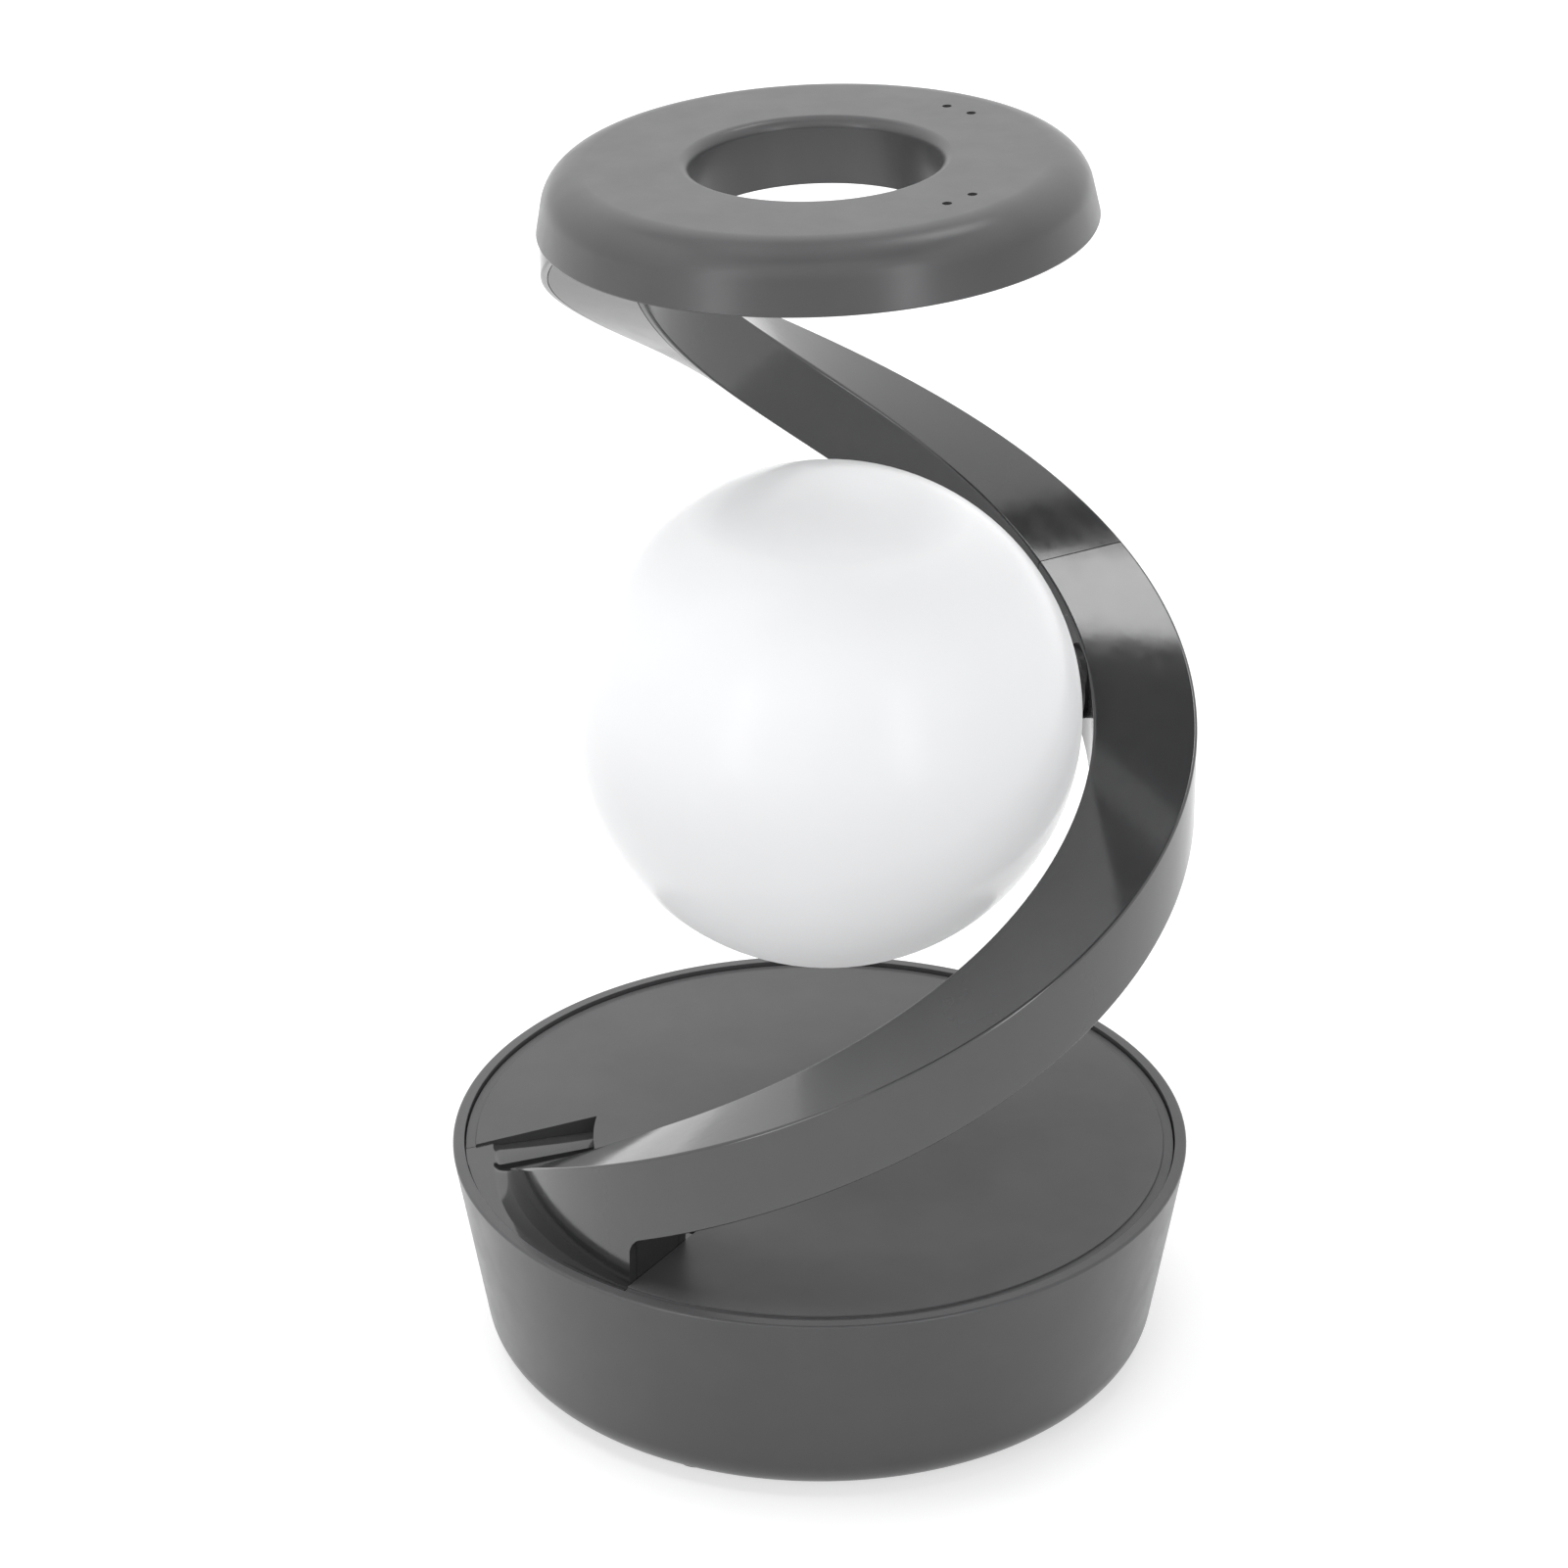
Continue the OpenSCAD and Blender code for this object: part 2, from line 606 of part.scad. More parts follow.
module usb_socket() {
    color([0.75, 0.75, 0.77])
        translate([0, socket_face_y, board_z + board_t]) rotate([90, 0, 0])
        difference() {
            translate([-socket_x / 2, 0, 0]) cube([socket_x, socket_z, socket_l]);
            translate([-socket_x / 2 + socket_wall, socket_wall, -over])
                cube([socket_x - 2 * socket_wall, socket_z - 2 * socket_wall,
                    socket_l - socket_wall]);
        }
}

module touch_contact() {
    z = board_z + board_t;
    color([0.8, 0.65, 0.3]) translate([touch_x, touch_y, z])
        tube(touch_r / 2, touch_r, deck_low_z - z);
}

// The opening in the deck for the foot of the arm, grown by a gap
module foot_outline(gap, z0, z1) {
    end_gap = gap / cut_in_r * 180 / PI;
    difference() {
        ring_sector(cut_in_r - gap, base_r + over, z0, z1, cut_az0 - spare_turn,
            foot_end_az + end_gap - cut_az0 + spare_turn);
        translate([cut_p0[0], cut_p0[1], z0 - over]) rotate(cut_line_az)
            translate([-base_r, gap, 0]) cube([2 * base_r, base_r, z1 - z0 + 2 * over]);
    }
}

module deck() {
    color([0.25, 0.25, 0.26]) difference() {
        union() {
            translate([0, 0, deck_low_z]) cylinder(r = deck_r, h = deck_t);
            translate([0, 0, deck_low_z])
                cylinder(r = deck_r - deck_edge, h = deck_t + deck_rise);
            around(feet_count, feet_az, feet_at)
                translate([0, 0, deck_post_z])
                cylinder(r = boss_r, h = deck_low_z - deck_post_z + over);
            around(tray_ear_count, tray_az, tray_ear_at)
                translate([0, 0, tray_z + tray_t])
                cylinder(r = boss_r, h = deck_low_z - tray_z - tray_t + over);
        }
        foot_outline(fit_gap, deck_low_z - over, rim_z);
        around(feet_count, feet_az, feet_at)
            translate([0, 0, deck_post_z - over]) cylinder(r = screw_r, h = deck_screw_l + over);
        around(tray_ear_count, tray_az, tray_ear_at)
            translate([0, 0, tray_z]) cylinder(r = screw_r, h = tray_screw_l);
    }
}

module charging_coil() {
    color([0.75, 0.42, 0.2]) translate([0, 0, deck_low_z - coil_t]) difference() {
        tube(coil_in_r, coil_out_r, coil_t);
        for (i = [1:coil_turn_count - 1])
            translate([0, 0, -coil_t / 2])
            tube(coil_in_r + (coil_out_r - coil_in_r) * i / coil_turn_count - coil_groove / 2,
                coil_in_r + (coil_out_r - coil_in_r) * i / coil_turn_count + coil_groove / 2, coil_t);
    }
}

module coil_ferrite() {
    color([0.15, 0.15, 0.16]) translate([0, 0, deck_low_z - coil_t - ferrite_t])
        cylinder(r = ferrite_r, h = ferrite_t);
}

module coil_tray() {
    color([0.3, 0.3, 0.31]) translate([0, 0, tray_z]) difference() {
        union() {
            cylinder(r = tray_r, h = tray_t);
            tube(ferrite_r + fit_gap, tray_r, tray_t + ferrite_t + coil_t);
            around(tray_ear_count, tray_az, tray_ear_at) cylinder(r = tray_ear_r, h = tray_t);
        }
        around(tray_ear_count, tray_az, tray_ear_at) translate([0, 0, -over])
            cylinder(r = screw_r + fit_gap, h = tray_t + 2 * over);
    }
}

module tray_screws() {
    color([0.6, 0.6, 0.62]) around(tray_ear_count, tray_az, tray_ear_at)
        translate([0, 0, tray_z - head_t]) screw(screw_r, head_r, head_t, tray_screw_l);
}

// Steel tray that holds the arm's foot from below and laps the underside of the deck
module foot_bracket() {
    color([0.62, 0.62, 0.64]) difference() {
        ring_sector(cut_in_r - bracket_lap, deck_r - ledge_w - fit_gap, seat_z - bracket_t,
            deck_low_z, cut_az0 - bracket_turn, foot_end_az - cut_az0 + 2 * bracket_turn);
        foot_outline(fit_gap, seat_z, rim_z);
        at_foot_screws() translate([0, 0, seat_z - bracket_t - over])
            cylinder(r = screw_r + fit_gap, h = bracket_t + 2 * over);
    }
}
// Block in the foot's channel that takes two of its screws
module foot_block() {
    az = stations(foot_block_az0, foot_block_az1);
    g = arm_wall + fit_gap;
    color([0.55, 0.55, 0.57]) difference() {
        box_band([for (a = az)
            box_section(arm_ri(a) + g, arm_ro(a) - g, seat_z, roof(a) - fit_gap)], az);
        at_foot_screws() translate([0, 0, seat_z - over])
            cylinder(r = screw_r, h = foot_screw_l + over);
    }
}
module at_foot_screws() {
    for (d = foot_screw_ins, a = [root_screw_az, block_screw_az])
        rotate(a) translate([arm_root_r - d, 0, 0]) children();
}
module foot_screws() {
    color([0.6, 0.6, 0.62]) at_foot_screws()
        translate([0, 0, seat_z - bracket_t - head_t])
        screw(screw_r, head_r, head_t, bracket_t + foot_screw_l);
}

// Lower arm: foot with ramp and trough, rising channel up to the seam
module arm_lower_shell() {
    solid_part = stations(root_az, root_solid_az);
    foot_part = stations(root_solid_az, foot_end_az);
    rise_part = stations(end_az + end_turn, seam_az - seam_gap / arm_ro(seam_az) * 90 / PI);
    az = concat(
        solid_part,
        [for (i = [1:len(foot_part) - 1]) foot_part[i]],
        [foot_end_az + end_draft],
        [for (s = end_shares) end_az + s * end_turn],
        [for (i = [1:len(rise_part) - 1]) rise_part[i]]
    );
    color([0.27, 0.27, 0.28]) difference() {
        union() {
            band([for (a = az) lower_section(a)], az, root_cap(), channel_cap(), whole_ring(),
                root_ring(), len(solid_part) - 1, plug_cap());
            trough();
        }
        at_foot_screws() translate([0, 0, seat_z - over])
            cylinder(r = screw_r, h = foot_screw_l + over);
        // bore and flat seat of the pivot's bush
        at_globe() {
            cylinder(r = bush_r + fit_gap, h = arm_wall_s + 2 * arm_wall);
            cylinder(r = bush_flange_r + fit_gap, h = arm_wall_s);
        }
    }
}
// The start of the foot: a ramp that falls inwards, then a step down to the arm's top,
// which comes up from below the deck
module trough() {
    nose_z = arm_top(root_az);
    nose_d = nose_z - face_h - deck_edge_z;
    m = moat_shares[0];
    lean = atan(-(1 - m) * (moat_r0 - arm_root_r) / cove(nose_d, m));
    difference() {
        intersection() {
            foot_outline(0, seat_z, deck_edge_z);
            ring_sector(cut_in_r, flange_r, seat_z - over, deck_edge_z + over,
                cut_az0 - spare_turn, root_az - cut_az0 + spare_turn + weld_turn);
        }
        intersection() {
            over_ramp();
            cylinder(r = trough_wall_r, h = 2 * base_r);
        }
        intersection() {
            translate([step_p1[0], step_p1[1], 0]) rotate(step_line_az)
                translate([-base_r, -base_r, 0]) cube([2 * base_r, base_r, base_r]);
            rotate(root_az) translate([0, 0, nose_z]) rotate([root_climb_angle, 0, 0])
                translate([0, -base_r, 0]) cube([base_r, 2 * base_r, base_r]);
            rotate(root_az) translate([moat_r0, -base_r, deck_edge_z]) rotate([0, lean, 0])
                translate([-base_r, 0, -base_r]) cube([base_r, 2 * base_r, 2 * base_r]);
        }
    }
}

// The space over the ramp: its floor twists from the deck's straight edge to the step
module over_ramp() {
    run = cut_p0 - cut_p1;
    north = over * [-run[1], run[0]] / norm(run);
    reach = trough_reach_share * (step_p0 - step_p1);
    plan = [
        cut_p0 + trough_reach_share * run + north, step_p0 + reach,
        step_p1 - reach, cut_p1 + north
    ];
    depth = [trough_edge_ds[0], trough_step_ds[0], trough_step_ds[1], trough_edge_ds[1]];
    polyhedron(
        points = [
            for (i = [0:3]) [plan[i][0], plan[i][1], deck_edge_z - depth[i]],
            for (i = [0:3]) [plan[i][0], plan[i][1], rim_z + over]
        ],
        faces = [
            [0, 3, 2], [0, 2, 1], [4, 5, 6], [4, 6, 7],
            [0, 1, 5], [0, 5, 4], [1, 2, 6], [1, 6, 5],
            [2, 3, 7], [2, 7, 6], [3, 0, 4], [3, 4, 7]
        ]
    );
}

module arm_lower_cover() {
    lip_turn = lip_t / (arm_root_r - arm_root_w / 2) * 180 / PI;
    side = arm_wall + fit_gap;
    rim = cover_rim + fit_gap;
    rise_part = stations(end_az + end_turn, seam_az - seam_gap / arm_ro(seam_az) * 90 / PI);
    az = concat(
        [foot_end_az - lip_turn, foot_end_az, end_az + end_draft / 2],
        [for (s = end_shares) end_az + max(end_draft, s * end_turn)],
        [for (i = [1:len(rise_part) - 1]) rise_part[i]]
    );
    color([0.26, 0.26, 0.27]) box_band([for (a = az)
        let (g = a < end_az + end_draft ? side : rim, z0 = a <= foot_end_az ? seat_z : under(a))
        box_section(arm_ri(a) + g, arm_ro(a) - g, z0,
            (a <= foot_end_az ? arm_low(a) : under(a)) + arm_cover_t)
    ], az);
}

// Inner tongue that bridges the seam under the channel's roof
module arm_splice() {
    az = stations(seam_az - splice_turn, seam_az + splice_turn);
    g = arm_wall + fit_gap;
    color([0.55, 0.55, 0.57]) box_band([for (a = az)
        box_section(arm_ri(a) + g, arm_ro(a) - g, roof(a) - splice_h, roof(a) - fit_gap)], az);
}

// Upper arm: the channel goes on, draws in and is cut off by the ring's underside
module arm_upper_shell() {
    az = stations(seam_az + seam_gap / arm_ro(seam_az) * 90 / PI, arm_end_az);
    color([0.27, 0.27, 0.28]) difference() {
        band([for (a = az) upper_section(a)], az, upper_cap(), upper_cap(), upper_ring());
        over_ring();
    }
}
module arm_upper_cover() {
    az = stations(seam_az + seam_gap / arm_ro(seam_az) * 90 / PI, arm_end_az);
    g = cover_rim + fit_gap;
    color([0.26, 0.26, 0.27]) difference() {
        box_band([for (a = az)
            box_section(arm_ri(a) + g, arm_ro(a) - g, arm_low(a), arm_low(a) + arm_cover_t)], az);
        over_ring();
    }
}
// The space over the ring's underside, where the arm stops
module over_ring() {
    at_ring() translate([-base_r, -base_r, 0]) cube([2 * base_r, 2 * base_r, base_r]);
}

// Block inside the arm's end that the ring is screwed to
module arm_head() {
    az = stations(head_block_az0, head_block_az1);
    g = arm_wall + fit_gap;
    color([0.55, 0.55, 0.57]) difference() {
        box_band([for (a = az)
            box_section(arm_ri(a) + g, arm_ro(a) - g,
                arm_low(a) + arm_cover_t + head_gap,
                min(roof(a) - fit_gap, ring_z + ring_slack))], az);
        over_ring();
        at_head_screws() translate([0, 0, -head_screw_l]) cylinder(r = screw_r, h = base_h);
    }
}
module at_head_screws() {
    at_ring() for (d = head_screw_ins)
        rotate(head_screw_az) translate([arm_head_r - d, 0, 0]) children();
}
module head_screws() {
    color([0.6, 0.6, 0.62]) at_head_screws()
        translate([0, 0, ring_base_t + head_t]) rotate([180, 0, 0])
        screw(screw_r, head_r, head_t, ring_base_t + head_screw_l);
}

// Ring head
module ring_cover() {
    color([0.24, 0.24, 0.25]) at_ring() difference() {
        union() {
            rotate_extrude() ring_shell_outline();
            for (a = ring_screw_azs) rotate(a) translate([ring_screw_at, 0, ring_base_t])
                cylinder(r = ring_boss_r, h = ring_h - ring_wall / 2 - ring_base_t);
            for (i = [0:ring_post_count - 1])
                rotate(lamp_az0 + lamp_turn * (i + 0.5) / ring_post_count)
                translate([(lamp_in_r + lamp_out_r) / 2, 0, led_board_z + board_t])
                cylinder(r = ring_post_r, h = ring_h - ring_wall / 2 - led_board_z - board_t);
        }
        for (t = pin_turns) rotate(pin_az + t)
            translate([ring_hole_r + pin_share * ring_w, 0, ring_h / 2])
            cylinder(r = pin_r, h = ring_h);
        for (a = ring_screw_azs) rotate(a) translate([ring_screw_at, 0, 0])
            cylinder(r = screw_r, h = ring_h - ring_wall);
    }
}
// Section of the ring cover: flared side, round shoulder, flat top, rolled hole edge, sleeve
module ring_shell_outline() {
    top_r = ring_r - ring_side_in - ring_shoulder;
    shoulder_z = ring_h - ring_shoulder;
    side_r = ring_r - ring_side_in;
    difference() {
        union() {
            polygon([
                [ring_hole_r, -ring_sink], [ring_hole_r + ring_wall, -ring_sink],
                [ring_hole_r + ring_wall, 0], [ring_r, 0], [side_r, shoulder_z],
                [top_r, shoulder_z], [top_r, ring_h], [ring_hole_r + ring_lip_r, ring_h],
                [ring_hole_r + ring_lip_r, ring_h - ring_lip_r],
                [ring_hole_r, ring_h - ring_lip_r]
            ]);
            intersection() {
                translate([top_r, shoulder_z]) circle(r = ring_shoulder);
                translate([top_r, shoulder_z]) square(ring_shoulder);
            }
            translate([ring_hole_r + ring_lip_r, ring_h - ring_lip_r]) circle(r = ring_lip_r);
        }
        polygon([
            [ring_hole_r + ring_wall, -ring_sink - over],
            [ring_r - ring_wall, -ring_sink - over], [ring_r - ring_wall, 0],
            [side_r - ring_wall, shoulder_z], [top_r, shoulder_z],
            [top_r, ring_h - ring_wall], [ring_hole_r + ring_wall, ring_h - ring_wall]
        ]);
        intersection() {
            translate([top_r, shoulder_z]) circle(r = ring_shoulder - ring_wall);
            translate([top_r, shoulder_z]) square(ring_shoulder);
        }
    }
}

module ring_base() {
    in_r = ring_hole_r + ring_wall + fit_gap;
    out_r = ring_r - ring_wall - fit_gap - ring_base_taper;
    color([0.22, 0.22, 0.23]) at_ring() difference() {
        tube(in_r, out_r, ring_base_t);
        ring_sector(lamp_in_r, lamp_out_r, -over, ring_base_t + over, lamp_az0, lamp_turn);
        ring_sector(lamp_in_r - slot_ledge, lamp_out_r + slot_ledge, ring_base_t - slot_step,
            ring_base_t + over, lamp_az0 - slot_turn, lamp_turn + 2 * slot_turn);
        for (a = ring_screw_azs) rotate(a) translate([ring_screw_at, 0, -over]) {
            cylinder(r = screw_r + fit_gap, h = ring_base_t + 2 * over);
            cylinder(r = ring_head_r + fit_gap, h = head_t / 2 + over);
        }
        rotate(head_screw_az) for (d = head_screw_ins)
            translate([arm_head_r - d, 0, -over])
            cylinder(r = screw_r + fit_gap, h = ring_base_t + 2 * over);
    }
}

module ring_diffuser() {
    color([0.93, 0.93, 0.9]) at_ring() {
        ring_sector(lamp_in_r + fit_gap, lamp_out_r - fit_gap, 0, ring_base_t,
            lamp_az0 + slot_turn / 4, lamp_turn - slot_turn / 2);
        ring_sector(lamp_in_r - slot_ledge + fit_gap, lamp_out_r + slot_ledge - fit_gap,
            ring_base_t - slot_step, ring_base_t, lamp_az0 - slot_turn / 2,
            lamp_turn + slot_turn);
    }
}

module ring_led_board() {
    color([0.9, 0.9, 0.88]) at_ring()
        ring_sector(lamp_in_r, lamp_out_r, led_board_z, led_board_z + board_t, lamp_az0,
            lamp_turn);
}

module ring_leds() {
    color([0.95, 0.85, 0.5]) at_ring() for (i = [0:ring_led_count - 1])
        rotate(lamp_az0 + lamp_turn * (i + 0.5) / ring_led_count)
        translate([(lamp_in_r + lamp_out_r) / 2 - led_w / 2, -led_w / 2, led_board_z - led_t])
        cube([led_w, led_w, led_t]);
}

module ring_screws() {
    color([0.6, 0.6, 0.62]) at_ring() for (a = ring_screw_azs)
        rotate(a) translate([ring_screw_at, 0, 0])
        screw(screw_r, ring_head_r, head_t / 2, ring_screw_l);
}

// Pivot: a bush through the arm's inner wall, the globe's axle in it
module pivot_bush() {
    color([0.7, 0.7, 0.72]) at_globe() difference() {
        union() {
            translate([0, 0, arm_wall_s - bush_flange_t])
                cylinder(r = bush_flange_r, h = bush_flange_t);
            translate([0, 0, arm_wall_s - over]) cylinder(r = bush_r, h = bush_in + over);
            rotate(180 - stop_turn / 2) rotate_extrude(angle = stop_turn)
                translate([bush_r - stop_w / 2, bush_end_s - stop_l])
                square([stop_w * 3 / 2, stop_l]);
        }
        translate([0, 0, arm_wall_s - bush_flange_t - over])
            cylinder(r = axle_r + shaft_gap, h = bush_in + bush_flange_t + 2 * over);
    }
}
module pivot_washer() {
    color([0.8, 0.65, 0.3]) at_globe() translate([0, 0, bush_end_s])
        tube(axle_r + shaft_gap, washer_r, washer_t);
}
// The nut turns with the axle; its finger meets the bush's stop at either end of the turn
module pivot_nut() {
    out_r = bush_r + stop_w;
    color([0.66, 0.66, 0.68]) at_globe() {
        translate([0, 0, nut_s]) tube(axle_r, nut_r, nut_t);
        rotate(-stop_turn / 2) rotate_extrude(angle = stop_turn) {
            translate([nut_r - stop_w / 2, nut_s])
                square([out_r - nut_r + stop_w / 2, nut_t]);
            translate([bush_r + stop_gap, bush_end_s - stop_l])
                square([stop_w - stop_gap, nut_s - bush_end_s + stop_l + nut_t / 2]);
        }
    }
}

module pivot_axle() {
    s0 = globe_r - hub_t - axle_plate_t - hub_dome;
    color([0.66, 0.66, 0.68]) at_globe() difference() {
        union() {
            translate([0, 0, s0]) cylinder(r = axle_plate_r, h = axle_plate_t);
            translate([0, 0, s0]) cylinder(r = axle_r, h = axle_end_s - s0);
        }
        translate([0, 0, s0 - over]) cylinder(r = axle_bore_r, h = axle_end_s - s0 + 2 * over);
        around(hub_screw_count, 0, hub_screw_at)
            translate([0, 0, s0 - over])
            cylinder(r = hub_screw_r + fit_gap, h = axle_plate_t + 2 * over);
    }
}

// Globe
module globe_shell() {
    color([0.96, 0.96, 0.96]) at_globe() difference() {
        sphere(r = globe_r);
        sphere(r = globe_r - globe_wall);
        cylinder(r = neck_r, h = globe_r + over);
    }
}
module globe_hub() {
    s0 = globe_r - hub_t - hub_dome;
    in_r = globe_r - globe_wall;
    lip_r = neck_r + neck_flange;
    lip_s = sqrt(pow(in_r, 2) - pow(lip_r, 2)) - fit_gap;
    color([0.9, 0.9, 0.9]) at_globe() difference() {
        union() {
            intersection() {
                sphere(r = globe_r);
                translate([0, 0, lip_s - over / 2])
                    cylinder(r = neck_r - fit_gap, h = globe_r - lip_s + over);
            }
            translate([0, 0, lip_s - hub_t]) cylinder(r = lip_r, h = hub_t);
        }
        translate([0, 0, lip_s - hub_t - over])
            cylinder(r = axle_plate_r + fit_gap, h = s0 - lip_s + hub_t + over);
        cylinder(r = axle_r + fit_gap, h = globe_r + over);
        around(hub_screw_count, 0, hub_screw_at)
            cylinder(r = hub_screw_r, h = s0 + hub_t / 2);
    }
}
module hub_screws() {
    s0 = globe_r - hub_t - axle_plate_t - hub_dome;
    color([0.6, 0.6, 0.62]) at_globe() around(hub_screw_count, 0, hub_screw_at)
        translate([0, 0, s0 - hub_head_t]) {
            cylinder(r = hub_head_r, h = hub_head_t);
            cylinder(r = hub_screw_r, h = hub_head_t + axle_plate_t + hub_t / 2);
        }
}

module globe_led_board() {
    color([0.9, 0.9, 0.88]) at_globe() {
        translate([0, 0, led_board_s]) tube(axle_bore_r, led_board_r, board_t);
        around(hub_screw_count, led_post_az, led_post_at)
            translate([0, 0, led_board_s]) cylinder(r = led_post_r, h = led_stand);
    }
}
module globe_leds() {
    color([0.95, 0.85, 0.5]) at_globe() around(globe_led_count, 0, led_ring_r)
        translate([-led_w / 2, -led_w / 2, led_board_s - led_t]) cube([led_w, led_w, led_t]);
}

base_tub();
bottom_cover();
rubber_feet();
deck_screws();
cover_screws();
counterweight();
main_board();
usb_socket();
touch_contact();
deck();
charging_coil();
coil_ferrite();
coil_tray();
tray_screws();
foot_bracket();
foot_block();
foot_screws();
arm_lower_shell();
arm_lower_cover();
arm_splice();
arm_upper_shell();
arm_upper_cover();
arm_head();
head_screws();
ring_cover();
ring_base();
ring_diffuser();
ring_led_board();
ring_leds();
ring_screws();
pivot_bush();
pivot_washer();
pivot_nut();
pivot_axle();
globe_shell();
globe_hub();
hub_screws();
globe_led_board();
globe_leds();
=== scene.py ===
"""Looks of the spiral table lamp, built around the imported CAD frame.

Lengths are in millimetres until a mesh is made, which is in metres, and angles are in degrees.
Seven solids that the photo shows are built again in finer steps, and the ramp at the arm's foot
is a piece of its own. The other solids only get their finish. The stage is in metres."""
import json
import math

import bmesh
import bpy
import numpy as np
from mathutils import Matrix, Vector


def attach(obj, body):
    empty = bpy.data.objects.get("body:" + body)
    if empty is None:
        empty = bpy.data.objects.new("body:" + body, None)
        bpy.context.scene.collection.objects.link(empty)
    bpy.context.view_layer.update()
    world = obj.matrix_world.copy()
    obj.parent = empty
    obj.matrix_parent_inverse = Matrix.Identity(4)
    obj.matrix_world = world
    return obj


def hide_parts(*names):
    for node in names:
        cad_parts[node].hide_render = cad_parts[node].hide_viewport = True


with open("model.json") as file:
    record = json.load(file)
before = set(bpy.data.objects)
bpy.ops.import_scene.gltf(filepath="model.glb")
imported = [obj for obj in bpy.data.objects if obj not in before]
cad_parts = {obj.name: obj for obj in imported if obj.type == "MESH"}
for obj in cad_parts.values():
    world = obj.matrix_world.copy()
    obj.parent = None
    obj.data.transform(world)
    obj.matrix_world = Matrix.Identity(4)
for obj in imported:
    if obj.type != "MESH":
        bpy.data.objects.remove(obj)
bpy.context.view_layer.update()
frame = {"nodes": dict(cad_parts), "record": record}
MM = 0.001
rad, deg = math.radians, math.degrees

# ---------------------------------------------------------------- sizes that the solids have too
FIT = 0.15                                  # gap round a piece that sits in another

# Base: radius at the rim and at the foot of the side, height, rounding of the bottom edge
BASE_R, LOW_R, BASE_H, EDGE_R = 70, 63, 40.8, 8.4
BASE_WALL, FLOOR_T, FEET_OUT = 2.3, 2.4, 0.6
RIM_Z = FEET_OUT + BASE_H
COVER_HOLE_R, COVER_HOLE_T = 48.15, 2       # opening for the bottom cover
COVER_RING_IN, COVER_RING_OUT, COVER_RING_TOP = 42, 50, 4.4     # ring that the cover lies under
SHELF_W, SHELF_H = 2.4, 4.5                 # ledge that the deck's edge lies on
FEET, FEET_AT, FEET_AZ, PAD_R, PAD_TOP = 4, 53.6, 65, 4.5, 1.8
INLET_Z, INLET_DEEP, INLET_END = 16.75, 1, 40
INLET_RECESS, INLET_MOUTH = (6.5, 3.5, 1.2), (4.65, 1.8, 1.6)   # half sizes, corner radius

# Deck: level of its edge, thickness there, rise of its top, width of the edge, gap to the base
DECK_Z, DECK_T, DECK_RISE, DECK_EDGE, DECK_GAP = RIM_Z - 0.9, 3, 0.4, 1.9, 0.25
DECK_R = BASE_R - BASE_WALL - DECK_GAP
DECK_POSTS = [(FEET, FEET_AZ, FEET_AT, 4.6), (3, 30, 30, 35.1)]  # count, azimuth, place, low end
POST_R = 3
CUT_IN, CUT_AZ0, CUT_AZ1 = 43.3, 172.37, 184.84     # opening for the arm's foot

# Arm: rise over a turn, height, wall, then outer radius and width at root, belly and head
PITCH, ARM_H, WALL = 195.5, 17, 2.2
ARM_R, WIDTH = (60.2, 69.6, 49.1), (17.8, 19, 17.4)
ROOT, BELLY, HEAD, SEAM, FOOT_END = 190, 335, 527, 390, 237.5   # azimuths along it
ROOT_TOP, SEAT = DECK_Z + 0.2, DECK_Z - 4.6
DIP, DIP_TURN = 1.8, 30                     # its top dips at the root
COVER_RIM, COVER_T, SEAM_GAP = 1.2, 1.6, 0.2
COVER_REACH = 2                             # turn by which the cover reaches into the foot
CHANGE = 0.1                                # turn in which one kind of section becomes another
END, END_ROUND = FOOT_END + 2 * CHANGE, 2   # upright end of the foot, rounded below
END_TURN = deg(END_ROUND / (ARM_R[0] + WIDTH[0] / 2))
MOAT_W, MOAT_R, MOAT_SPREAD, MOAT_TURN = 2.4, 62.6, 3.6, 32     # hollow beside the foot
BUSH_HOLE_R, BUSH_RIM_R = 4.45, 7.15

# Ramp: outer radius, overrun past the deck's straight edge and, as a share, past its ends
RAMP_R, RAMP_OVER, RAMP_REACH = 62.4, 1, 0.15
STEP_ENDS = [(CUT_IN - 0.3, 180.27), (RAMP_R - 1, 189.75)]      # radius and azimuth
NOSE_TILT = 16

# Ring: level, radius, lean of the side, shoulder, height, hole, and how the ring leans
RING_Z, RING_R, RING_IN, SHOULDER, RING_H, HOLE_R = 225.1, 49.4, 0.9, 7.6, 11.7, 22.1
RING_X, LEAN_X, LEAN_Y = -0.3, -1.3, -2.1
RING_WALL, RING_SLACK = 2, 3                # and how far the arm is made too long for it
SLEEVE_OUT, SLEEVE_EDGE = 0.6, 0.25         # sleeve in the hole, below the ring
PIN_AZ, PIN_AT, PIN_R = (38, 48, -41, -51), 35.2, 0.85     # pinholes in two pairs
PIN_LOW, PIN_HIGH = 8, 14

GLOBE, GLOBE_R, PIVOT_AZ = (1.5, -3.5, 131.121), 46.4, 16.6

